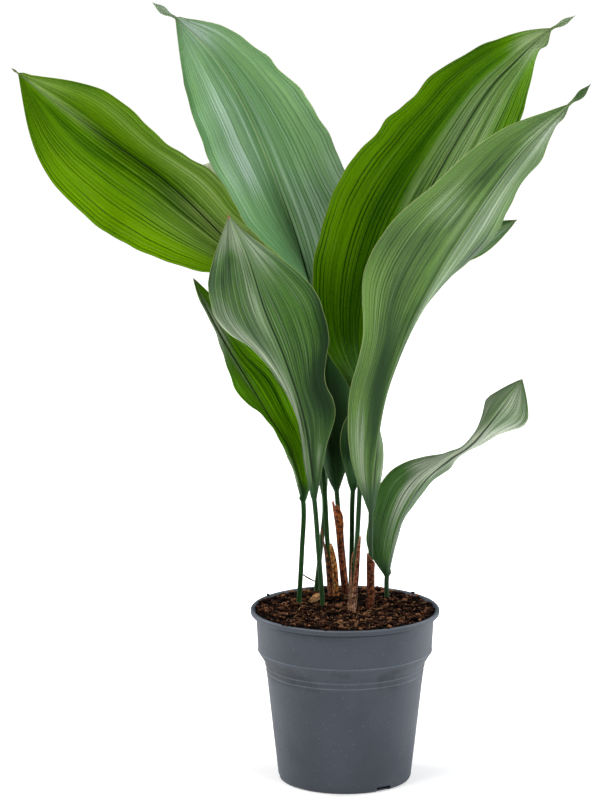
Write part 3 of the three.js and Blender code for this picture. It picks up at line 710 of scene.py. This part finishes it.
# the under-collar tone is painted shade under the collar
potFinish = dict(colour=(60, 68, 80), darker=(49, 56, 67), pit=(36, 42, 50), collarShade=(36, 42, 50),
                 paler=(112, 120, 130), dust=(140, 140, 136), roughness=0.46, bump=0.00012,
                 # heights of the rings' edges, where highlights are painted
                 highlightRings=(0.1199, 0.1053, 0.1001))


# an outline with its corners rounded off, and with more points on its long straight runs, so that
# the faces stay compact
def roundOff(outline):
    outline = [Vector(p) for p in outline]
    rounded, steps = [outline[0]], potShape["roundSteps"]
    for before, corner, after in zip(outline, outline[1:], outline[2:]):
        a, b = before - corner, after - corner
        reach = min(potShape["rounding"], 0.4 * a.length, 0.4 * b.length)
        start, end = corner + a.normalized() * reach, corner + b.normalized() * reach
        for t in (i / steps for i in range(steps + 1)):
            rounded.append(start * (1 - t) ** 2 + corner * (2 * t * (1 - t)) + end * t ** 2)
    rounded.append(outline[-1])
    filled = rounded[:1]
    for a, b in zip(rounded, rounded[1:]):
        count = max(1, math.ceil((b - a).length / potShape["longestFace"]))
        filled += [a + (b - a) * (i / count) for i in range(1, count + 1)]
    return filled


def cutAway(piece, cutter):
    modifier = piece.modifiers.new("cut", "BOOLEAN")
    modifier.operation, modifier.object, modifier.solver = "DIFFERENCE", cutter, "EXACT"
    mesh = bpy.data.meshes.new_from_object(piece.evaluated_get(bpy.context.evaluated_depsgraph_get()))
    piece.modifiers.clear()
    old, piece.data = piece.data, mesh
    bpy.data.meshes.remove(old)
    bpy.data.objects.remove(cutter)


def makePot():
    outline, sides = roundOff(potShape["outside"] + potShape["inside"]), potShape["sides"]
    points = [(0, 0, outline[0].y)]
    for r, z in outline[1:-1]:
        points += ringPoints(r, z, sides)
    points.append((0, 0, outline[-1].y))
    pot = addPiece("visual_pot", points, latheFaces(len(outline) - 2, sides))
    box = bmesh.new()
    near, far = potShape["slotReach"]
    for n in range(potShape["slots"]):
        turn = Matrix.Rotation(math.radians(potShape["firstSlot"] + 360 * n / potShape["slots"]), 4, "Z")
        middle = Vector((0, (near + far) / 2, potShape["slotFoot"] + potShape["slotHeight"] / 2))
        wide = Matrix.Diagonal((potShape["slotWidth"], far - near, potShape["slotHeight"], 1))
        bmesh.ops.create_cube(box, size=1, matrix=turn @ Matrix.Translation(middle) @ wide)
    corners, sidesOfBox = [v.co[:] for v in box.verts], [[v.index for v in f.verts] for f in box.faces]
    box.free()
    cutAway(pot, addPiece("slot_cutter", corners, sidesOfBox))
    pot.data.shade_smooth()
    pot.data.set_sharp_from_angle(angle=math.radians(potShape["sharpAngle"]))
    return pot


def makePotMaterial():
    material, shader, place = newMaterial("grey pot plastic")
    parts = feed("SeparateXYZ", {"Vector": place})
    height = parts["Z"]
    around = calc("ARCTAN2", parts["X"], times(parts["Y"], -1.0))
    grit, grain = noiseOf(place, 2600.0), noiseOf(place, 900.0, 3.0)
    cloud = useGroup(blotches, place, 22.0, 0.38, 0.66)
    mark = useGroup(specks, place, 620.0, 0.025)
    pit = useGroup(specks, place, 480.0, 0.3)
    # faint scuffs run round the pot and break up by patches
    rub = useGroup(stripes, height, times(around, 2.0), 330.0, 2.0)["Threads"]
    broken = useGroup(blotches, place, 70.0, 0.55, 0.72)
    scuffs = times(times(rub, broken), 0.18)
    # dark pits, most of them by the collar, and painted shade in an uneven band under the collar
    pits = times(times(pit, broken), remap(height, 0.085, 0.12, 0.2, 0.7))
    collarShadeBand = times(remap(height, 0.094, 0.1), remap(height, 0.119, 0.113))
    dampAndShade = times(collarShadeBand, remap(noiseOf(place, 26.0, 3.0), 0.44, 0.54, 0.0, 0.8))
    # painted highlights along the top of the lip and the rings' edges, broken up by the grain
    edgeHighlight = remap(height, 0.1555, 0.157)
    for ring in potFinish["highlightRings"]:
        near = remap(calc("ABSOLUTE", calc("SUBTRACT", height, ring)), 0.0009, 0.0003)
        edgeHighlight = calc("MAXIMUM", edgeHighlight, times(near, remap(grain, 0.35, 0.6, 0.3, 1.0)))
    tones = potFinish
    colour = mixColours(times(cloud, 0.45), tones["colour"], tones["darker"])
    colour = coat(colour, (remap(grain, 0.5, 0.8, 0.0, 0.5), tones["darker"]),
                  (remap(grit, 0.6, 0.75, 0.0, 0.3), tones["paler"]), (pits, tones["pit"]),
                  (dampAndShade, tones["collarShade"]), (scuffs, tones["dust"]), (times(mark, 0.3), tones["dust"]),
                  (times(edgeHighlight, 0.5), tones["paler"]))
    rough = times(cloud, 0.08, times(grain, 0.12, potFinish["roughness"] - 0.06))
    finish(shader, colour, rough, times(grit, 0.5, times(grain, 0.8)), potFinish["bump"])
    return material


dress(makePot(), makePotMaterial(), "pot")
print("pot made")

rootstock = dict(at=(-26, 34, 158.0), half=(9.3, 4.3, 3.9), turn=42, tilt=23, rows=60, sides=64,
                 tones=[(112, 62, 30), (246, 184, 122), (255, 230, 184)])
soil = dict(edge=155.7, mound=1.5, dip=3.6, bumps=0.9, rings=84, sides=320, lumps=1.3, clods=2.4, grit=1.3,
            seed=11, crumbs=2300, fibres=130, chips=150, clearOfRootstock=9)
# the gap tone is painted shade, for the low hollows and the undersides of the crumbs
soilColours = dict(hollowShade=(2, 1, 1), dark=(10, 6, 4), middle=(74, 38, 24), pale=(208, 146, 104),
                   fibre=(240, 184, 130))
soilWall = [(55.3, 3.8), (58.1, 4.9), (67.9, 109), (74.4, 119.2), (76.5, 140), (78.5, 152)]
soilRadius = 80.7
fibreTones = dict(dark=(112, 72, 42), pale=(214, 164, 110), fleck=(84, 54, 34))


def soilHeight(x, y):
    mound = soil["mound"] * math.exp(-((x - 2) ** 2 + (y - 52) ** 2) / 900)
    bumps = math.sin(x * 0.21 + 1.3) * math.cos(y * 0.17 - 0.4) + 0.6 * math.sin(x * 0.09 - y * 0.26)
    dip = soil["dip"] * math.exp(-(x / 60) ** 2 - ((y - 12) / 42) ** 2)
    return soil["edge"] + mound - dip + soil["bumps"] * bumps


def crumbly(x, y):  # the rough surface on top of the gentle bumps
    p = Vector((x, y, 0))
    coarse = noise.fractal(p * 0.16, 1.0, 2.0, 3) * soil["lumps"]
    clods = 0.75 - noise.voronoi(p * 0.21)[0][0]
    return coarse + soil["clods"] * clods - soil["grit"] * noise.voronoi(p * 0.6)[0][0]


def soilTop(x, y):
    return soilHeight(x, y) + crumbly(x, y)


def makeSoil():
    sides, rings = soil["sides"], soil["rings"]
    points = [(0, 0, soilWall[0][1])]
    for r, z in soilWall:
        points += ringPoints(r, z, sides)
    for ring in range(rings):
        r = soilRadius * (1 - ring / rings)
        inner = min(1, (soilRadius - r) / 4 + 0.5)
        points += [(x, y, soilHeight(x, y) + crumbly(x, y) * inner) for x, y, z in ringPoints(r, 0, sides)]
    points.append((0, 0, soilTop(0, 0)))
    # high: how far each point stands above the hollows; the material paints shade low and light high from it
    high = np.clip([(crumbly(x, y) + 1.2) / 3.0 for x, y, z in points], 0, 1)
    return addPiece("visual_soil", points, latheFaces(len(soilWall) + rings, sides), dict(high=high))


def lumpPoints(fineness):
    shape = bmesh.new()
    bmesh.ops.create_icosphere(shape, subdivisions=fineness, radius=1.0)
    points = np.array([v.co[:] for v in shape.verts])
    faces = np.array([[v.index for v in f.verts] for f in shape.faces])
    shape.free()
    return points, faces


def spotOnSoil(pick, reach=1.0):
    while True:
        angle, radius = pick.uniform(0, 2 * math.pi), (soilRadius - 1.5) * reach * math.sqrt(pick.random())
        x, y = radius * math.cos(angle), radius * math.sin(angle)
        if math.hypot(x - rootstock["at"][0], y - rootstock["at"][1] + 3) > soil["clearOfRootstock"]:
            return x, y


# crumbs, clods and slivers of bark that lie on the soil, and a few on the rim: x, y and size
rimCrumbs = [(-55, -63, 1.6), (-51, -66, 1.2), (-47, -67, 2.0), (-44.5, -67.5, 1.1), (38, -73.5, 1.5),
             (-17, -81, 1.7), (70, -43, 1.2), (62, 54, 1.5), (-70, 44, 1.4)]


def makeCrumbs():
    pick = random.Random(soil["seed"])
    balls = {fineness: lumpPoints(fineness) for fineness in (1, 2)}
    parts, loose = [], soil["crumbs"] + soil["chips"]
    for n in range(loose + len(rimCrumbs)):
        if n < soil["crumbs"]:
            x, y = spotOnSoil(pick)
            size = 0.5 + 2.3 * pick.random() ** 3.0
            stretch = (pick.uniform(0.8, 1.5), pick.uniform(0.7, 1.1), pick.uniform(0.6, 0.95))
            z = soilTop(x, y) + pick.uniform(0.1, 0.6) * size
            tone = pick.random() ** 1.3
        elif n < loose:
            x, y = spotOnSoil(pick, 0.95)
            size = pick.uniform(0.6, 1.1)
            stretch = (pick.uniform(2.2, 4.2), pick.uniform(0.8, 1.2), 0.45)
            z = soilTop(x, y) + 0.6
            tone = pick.uniform(0.7, 1.3)
        else:
            x, y, size = rimCrumbs[n - loose]
            stretch, z, tone = (1.2, 0.9, 0.7), 157.0 + 0.45 * size, 0.35
        turn, lean = pick.uniform(0, 2 * math.pi), pick.uniform(-0.5, 0.5)
        ball, faces = balls[2 if size > 1.0 else 1]
        rough = 1 + 0.26 * np.sin(ball @ np.array([5.3, 7.1, 3.9]) + n)
        rough = rough + 0.2 * np.sin(ball @ np.array([9.0, -7.0, 8.0]) + 2 * n)
        lump = spin(spin(ball * rough[:, None] * np.array(stretch) * size, lean, 0, 2), turn, 0, 1)
        # high: how far up its crumb each point is, for painted shade underneath and painted light on top
        values = dict(tone=np.full(len(ball), tone), high=np.clip(0.42 + 0.6 * lump[:, 2] / size, 0, 1))
        parts.append((lump + np.array([x, y, z]), faces, values))
    return addMany("soil_crumbs", parts)


# a thin round strand through some points, thinner towards both ends: points, faces and values
def strand(route, radius, tone, rows=14, sides=6):
    t = np.linspace(0, 1, rows)
    line = smoothThrough(route, t)
    along = unit(np.gradient(line, axis=0))
    sideways = unit(np.cross(along, np.array([0.13, 0.21, 0.97])))
    upward = np.cross(sideways, along)
    around = np.linspace(0, 2 * np.pi, sides, endpoint=False)
    thick = radius * (0.35 + 0.65 * np.sin(np.pi * np.clip(t, 0.03, 0.97)) ** 0.5)
    ring = np.cos(around)[None, :, None] * sideways[:, None] + np.sin(around)[None, :, None] * upward[:, None]
    points = (line[:, None] + ring * thick[:, None, None]).reshape(-1, 3)
    return points, ringFaces(rows, sides), dict(tone=np.full(len(points), tone))


def makeFibres():
    pick = random.Random(soil["seed"] + 1)
    parts = []
    for n in range(soil["fibres"]):
        x, y = spotOnSoil(pick, 0.93)
        heading, length = pick.uniform(0, 2 * math.pi), pick.uniform(4, 15)
        route = []
        for i in range(5):
            lift = 0.35 + 0.9 * math.sin(math.pi * i / 4) * pick.random()
            route.append((x, y, soilTop(x, y) + lift))
            heading += pick.uniform(-0.7, 0.7)
            dx, dy = math.cos(heading) * length / 4, math.sin(heading) * length / 4
            if math.hypot(x + dx, y + dy) < soilRadius - 1.5:
                x, y = x + dx, y + dy
            else:
                x, y = x - dy * 0.5, y + dx * 0.5
                if math.hypot(x, y) > soilRadius - 1:
                    x, y = x * 0.95, y * 0.95
        parts.append(strand(route, pick.uniform(0.14, 0.3), pick.random()))
    return addMany("soil_fibres", parts)


def makeSoilMaterial(name, loose):
    material, shader, place = newMaterial(name)
    hollowShade, dark, middle, pale, fibre = soilColours.values()
    fine, clump = noiseOf(place, 900.0, 4.0, 0.65), noiseOf(place, 160.0, 3.0, 0.6)
    grit = useGroup(specks, place, 520.0, 0.12)
    dampAndShade = useGroup(blotches, place, 34.0, 0.4, 0.6)
    [high] = attributesOf(material, "high")
    # paler raised tops: partly dry crust, partly painted light; the grit shows mostly there too
    crustAndLitTops = times(remap(fine, 0.52, 0.68), remap(high, 0.55, 1.0, 0.0, 0.8))
    grains = times(grit, remap(high, 0.4, 0.8, 0.0, 0.9))
    colour = mixColours(remap(clump, 0.35, 0.68), dark, middle)
    colour = coat(colour, (crustAndLitTops, pale), (grains, fibre))
    if loose:
        [tone] = attributesOf(material, "tone")
        colour = coat(colour, (remap(tone, 0.55, 1.2, 0.0, 0.8), pale),
                      (remap(tone, 1.1, 1.35, 0.0, 0.8), fibre))
    # painted shade, near black, in the low hollows and under each crumb
    low = remap(high, 0.85, 0.35, 0.0, 0.97)
    colour = coat(colour, (times(dampAndShade, 0.35), dark), (low, hollowShade))
    rough = remap(fine, 0.3, 0.7, 0.95, 0.78)
    finish(shader, colour, rough, calc("ADD", fine, clump), 0.0014, 0.08)
    return material


def makeStrandMaterial():
    material, shader, place = newMaterial("dry root fibre")
    fine = noiseOf(place, 700.0, 3.0)
    [tone] = attributesOf(material, "tone")
    colour = mixColours(tone, fibreTones["dark"], fibreTones["pale"])
    colour = mixColours(remap(fine, 0.4, 0.7, 0.0, 0.6), colour, fibreTones["fleck"])
    finish(shader, colour, remap(fine, 0.3, 0.7, 0.6, 0.85), fine, 0.0002)
    return material


strandMaterial = makeStrandMaterial()
dress(makeSoil(), makeSoilMaterial("damp peat", False), "soil")
dress(makeCrumbs(), makeSoilMaterial("loose peat", True))
dress(makeFibres(), strandMaterial)
print("soil made")

# dry sheaths round the stalks. span gives distances along the leaf's path or the sheath's own. start and
# end are the angles that it covers round the stalk, in degrees from the front and positive to the right.
# tones are the dark fleck, the main one and the pale edge, and top and foot the tones of its ends. The top
# tone is brighter orange, partly its own colour and partly painted light.
sheaths = {
    "sheath_far_left": dict(
        around="far_left_leaf", span=(20, 93), radius=[3.8, 3.5, 3, 3, 4],
        start=[-165, -165, -150, -130, -100], end=[10, 20, 20, -20, -75],
        tones=[(26, 13, 7), (120, 64, 34), (190, 128, 82)], foot=(184, 112, 62)),
    "sheath_orange": dict(
        path=[[-8, 36, 138], [-8, 41, 157], [-9, 48, 177], [-11, 54, 192], [-12.5, 57, 204]], span=(0, 69),
        radius=[1.8, 1.9, 2, 1.8, 1.2], start=[-160, -160, -150, -110, -60], end=[160, 160, 150, 80, 20],
        tones=[(40, 18, 6), (204, 122, 40), (244, 184, 108)]),
    "sheath_tall_left": dict(
        around="tall_left_leaf", span=(20, 118), radius=[2.8, 2.8, 2.8, 2.9, 4.6],
        start=[-165, -165, -165, -160, -140], end=[160, 160, 155, 110, 0],
        tones=[(36, 15, 7), (136, 66, 34), (196, 118, 70)], top=(200, 108, 52)),
    "sheath_back_right": dict(
        around="back_right_leaf", span=(20, 98), radius=[3.2, 3.4, 3.4, 3, 2.8],
        start=[-22, -20, -14, -4, 16], end=[334, 332, 324, 260, 110],
        tones=[(50, 24, 14), (150, 80, 48), (214, 158, 116)], foot=(222, 186, 156)),
    "sheath_front_right": dict(
        around="front_right_leaf", span=(20, 82), radius=[3, 3, 3, 3, 3],
        start=[-166, -166, -165, -160, -150], end=[163, 163, 160, 140, -40],
        tones=[(42, 18, 10), (140, 74, 44), (196, 132, 90)]),
}
sheathBuild = dict(rows=76, columns=34, thickness=0.52, clear=0.08, flecks=0.9, bump=0.0003)


def makeSheath(name, sheath, seed):
    route = routeOf(sheath.get("path") or leaves[sheath["around"]]["path"])
    rows, columns = sheathBuild["rows"], sheathBuild["columns"]
    t = 1 - (1 - np.linspace(0, 1, rows)[:, None]) ** 1.4
    s = np.linspace(0, 1, columns)[None, :]
    low, high = sheath["span"]
    start, end, radius = (smoothThrough(sheath[key], t) for key in ("start", "end", "radius"))
    angle = np.radians(start + (end - start) * s)
    # torn at the top: each strip ends at its own height
    torn = 2.2 * np.sin(9 * s + seed) + 1.4 * np.sin(23 * s + 2 * seed) + 0.9 * np.sin(51 * s)
    distance = low + (high - low) * t + (torn - 1.5) * t ** 5
    edge = np.minimum(s, 1 - s)
    radius = radius + sheathBuild["clear"] + 0.5 * np.exp(-(edge / 0.06) ** 2) * smoothStep(t, 0.3, 1)
    folds = 0.10 * np.sin(angle * 9 + 1.5 * np.sin(4 * t + seed)) + 0.06 * np.sin(angle * 21 + 7 * t)
    point, across, front = (row.reshape(rows, columns, 3) for row in placesAlong(route, distance.ravel()))
    outward = front * np.cos(angle)[..., None] + across * np.sin(angle)[..., None]
    outer, inner = (point + outward * reach[..., None]
                    for reach in (radius + sheathBuild["thickness"] + folds, radius + 0.5 * folds))
    return addSheet(name, outer, inner, across=angle, along=t, edge=edge)


def makeSheathMaterial(name, look, seed):
    material, shader, place = newMaterial(name.replace("_", " "))
    dark, main, pale = look["tones"]
    across, along, edge = attributesOf(material, "across along edge")
    fibre = useGroup(stripes, across, times(along, 3.0), 3.2, seed * 2.3)
    fleck = useGroup(blotches, place, 300.0, 0.47, 0.56)
    light = useGroup(blotches, place, 420.0, 0.54, 0.62)
    cloud = useGroup(blotches, place, 60.0, 0.4, 0.65)
    colour = mixColours(fibre["Veins"], dark, main)
    colour = coat(colour, (times(fibre["Furrows"], 0.35), pale), (times(cloud, 0.4), main))
    # brighter orange at the top, partly the sheath's own colour and partly painted light
    if "top" in look:
        colour = mixColours(remap(along, 0.6, 0.85, 0.0, 0.75), colour, look["top"])
    if "foot" in look:
        low = times(remap(along, 0.5, 0.28, 0.0, 0.9), fibre["Veins"])
        colour = mixColours(low, colour, look["foot"])
    worn = calc("MAXIMUM", remap(edge, 0.07, 0.0), remap(along, 0.93, 1.0))
    colour = coat(colour, (times(fleck, look.get("flecks", sheathBuild["flecks"])), dark),
                  (times(light, 0.45), pale), (times(worn, 0.35), pale))
    relief = times(fibre["Furrows"], 0.4, times(fibre["Veins"], 0.6))
    rough = remap(fibre["Furrows"], 0.0, 1.0, 0.62, 0.82)
    finish(shader, colour, rough, relief, sheathBuild["bump"], 0.15)
    return material


for number, (name, sheath) in enumerate(sheaths.items(), 1):
    material = makeSheathMaterial(name, sheath, float(number))
    dress(makeSheath("visual_" + name, sheath, float(number)), material, name)
print("sheaths made")


# a ragged wedge of bark, with its blunt end in the soil
def makeRootstock():
    rows, sides = rootstock["rows"], rootstock["sides"]
    theta = np.linspace(0.02, np.pi - 0.02, rows)[:, None]
    x = -np.cos(theta) * np.ones(sides)
    around = np.linspace(0, 2 * np.pi, sides, endpoint=False)
    lump = 1 + 0.12 * np.sin(5 * x + 1) * (1 - x * x)
    lump = lump + 0.05 * np.sin(26 * x + 1.8 * np.sin(2 * around)) + 0.04 * np.sin(3 * around + 4 * x)
    wedge = 1 - 0.5 * smoothStep(x, -0.4, 1.0)
    facet = 1 - 0.24 * np.abs(np.sin(2.5 * around + 1.1 * x)) - 0.11 * np.abs(np.sin(7 * around + 1.7 * x))
    radius = np.sin(theta) ** 0.6 * lump * wedge * facet
    points = np.stack([x, radius * np.cos(around), radius * np.sin(around)], axis=-1).reshape(-1, 3)
    points = spin(points * np.array(rootstock["half"]), math.radians(rootstock["tilt"]), 0, 2)
    points = spin(points, math.radians(rootstock["turn"]), 0, 1) + np.array(rootstock["at"])
    values = dict(across=np.tile(around, rows), along=np.repeat(np.linspace(0, 1, rows), sides),
                  edge=np.full(rows * sides, 0.5))
    return addPiece("visual_rootstock", points, ringFaces(rows, sides), values)


strands = {  # points, thickness and tone
    "thin_root": ([(-38.4, 20.2, 183), (-35, 32, 177.5), (-31, 47, 171.5), (-27, 63, 165.5)], 0.8, 0.0),
    "twig": ([(-37, 24, 153.6), (-39, 15, 154.4), (-41.5, 5, 154.0), (-44, -6, 153.8)], 0.5, 1.0),
}
bark = makeSheathMaterial("rootstock bark", dict(tones=rootstock["tones"], flecks=0.55), 9.0)
dress(makeRootstock(), bark, "rootstock")
for name, (route, thick, tone) in strands.items():
    dress(addPiece(name, *strand(route, thick, tone, rows=28, sides=8)), strandMaterial)
print("small pieces made")

camera = dict(place=(0, -3.5, 1.05), aim=(-0.0405, 0, 0.3475), lens=180.45, sensor=36, near=0.05, far=60)
lightAim = (0, 0.03, 0.4)
lights = {  # place, size, watts and tone
    "key": ((-1.2, -1.3, 2.2), (1.0, 1.0), 34, (255, 252, 246)),
    "top": ((0.1, 0.3, 2.3), (1.6, 1.6), 22, (255, 255, 255)),
    "left strip": ((-1.5, 0.7, 0.7), (0.7, 1.6), 20, (246, 250, 255)),
    "right strip": ((1.5, 0.6, 0.7), (0.7, 1.6), 20, (246, 250, 255)),
    "right fill": ((1.5, -1.9, 1.5), (0.8, 0.8), 24, (255, 255, 255)),
}
world = dict(back=0.05, top=0.04, front=0.006)
ground = dict(sides=96, radius=9000, colour=0.9, roughness=0.9, nearPot=0.35, away=1.0)
white = (1, 1, 1, 1)


def stand(name, data, place, aim):
    item = link(bpy.data.objects.new(name, data))
    item.location = place
    item.rotation_euler = (Vector(aim) - item.location).to_track_quat("-Z", "Y").to_euler()
    return item


def makeCamera():
    data = bpy.data.cameras.new("camera")
    data.lens, data.sensor_width, data.sensor_fit = camera["lens"], camera["sensor"], "AUTO"
    data.clip_start, data.clip_end = camera["near"], camera["far"]
    bpy.context.scene.camera = stand("camera", data, camera["place"], camera["aim"])


def makeLights():
    for name, (place, size, watts, tone) in lights.items():
        data = bpy.data.lights.new(name, "AREA")
        data.shape, data.size, data.size_y = "RECTANGLE", size[0], size[1]
        data.energy, data.color = watts, toLinear(tone)[:3]
        stand(name, data, place, lightAim)


def makeWorld():
    studio = bpy.data.worlds.new("studio")
    bpy.context.scene.world = studio
    studio.use_nodes = True
    tree = studio.node_tree
    background = tree.nodes["Background"]
    background.inputs["Color"].default_value = white
    parts = feed("SeparateXYZ", {"Vector": addNode(tree, "TexCoord").outputs["Generated"]})
    # bright behind the plant, dimmer on the camera's side, and plain white where it is seen itself
    level = remap(parts["Y"], -0.7, 0.5, world["front"], world["back"])
    level = calc("MAXIMUM", level, remap(parts["Z"], 0.3, 0.9, 0.0, world["top"]))
    seen = addNode(tree, "LightPath").outputs["Is Camera Ray"]
    plug(background.inputs["Strength"], calc("MAXIMUM", level, seen))


def makeFloor():
    sides = ground["sides"]
    faces = [[0, 1 + i, 1 + (i + 1) % sides] for i in range(sides)]
    floor = addPiece("floor", [(0, 0, 0)] + ringPoints(ground["radius"], 0, sides), faces)
    material, shader, place = newMaterial("pale floor")
    away = feed("VectorMath", {0: place}, operation="LENGTH")["Value"]
    shader.inputs["Base Color"].default_value = (ground["colour"],) * 3 + (1,)
    shader.inputs["Roughness"].default_value = ground["roughness"]
    shader.inputs["Specular IOR Level"].default_value = 0.0
    shader.inputs["Emission Color"].default_value = white
    # it melts into the white background away from the pot
    glowing = remap(away, 0.08, 0.6, ground["nearPot"], ground["away"])
    seen = addNode(material.node_tree, "LightPath").outputs["Is Camera Ray"]
    seen = remap(seen, 0.0, 1.0, 0.3, 1.0)
    plug(shader.inputs["Emission Strength"], times(glowing, seen))
    floor.data.materials.append(material)


makeCamera()
makeLights()
makeWorld()
makeFloor()
bpy.context.scene.view_settings.view_transform = "Standard"
print("studio made")
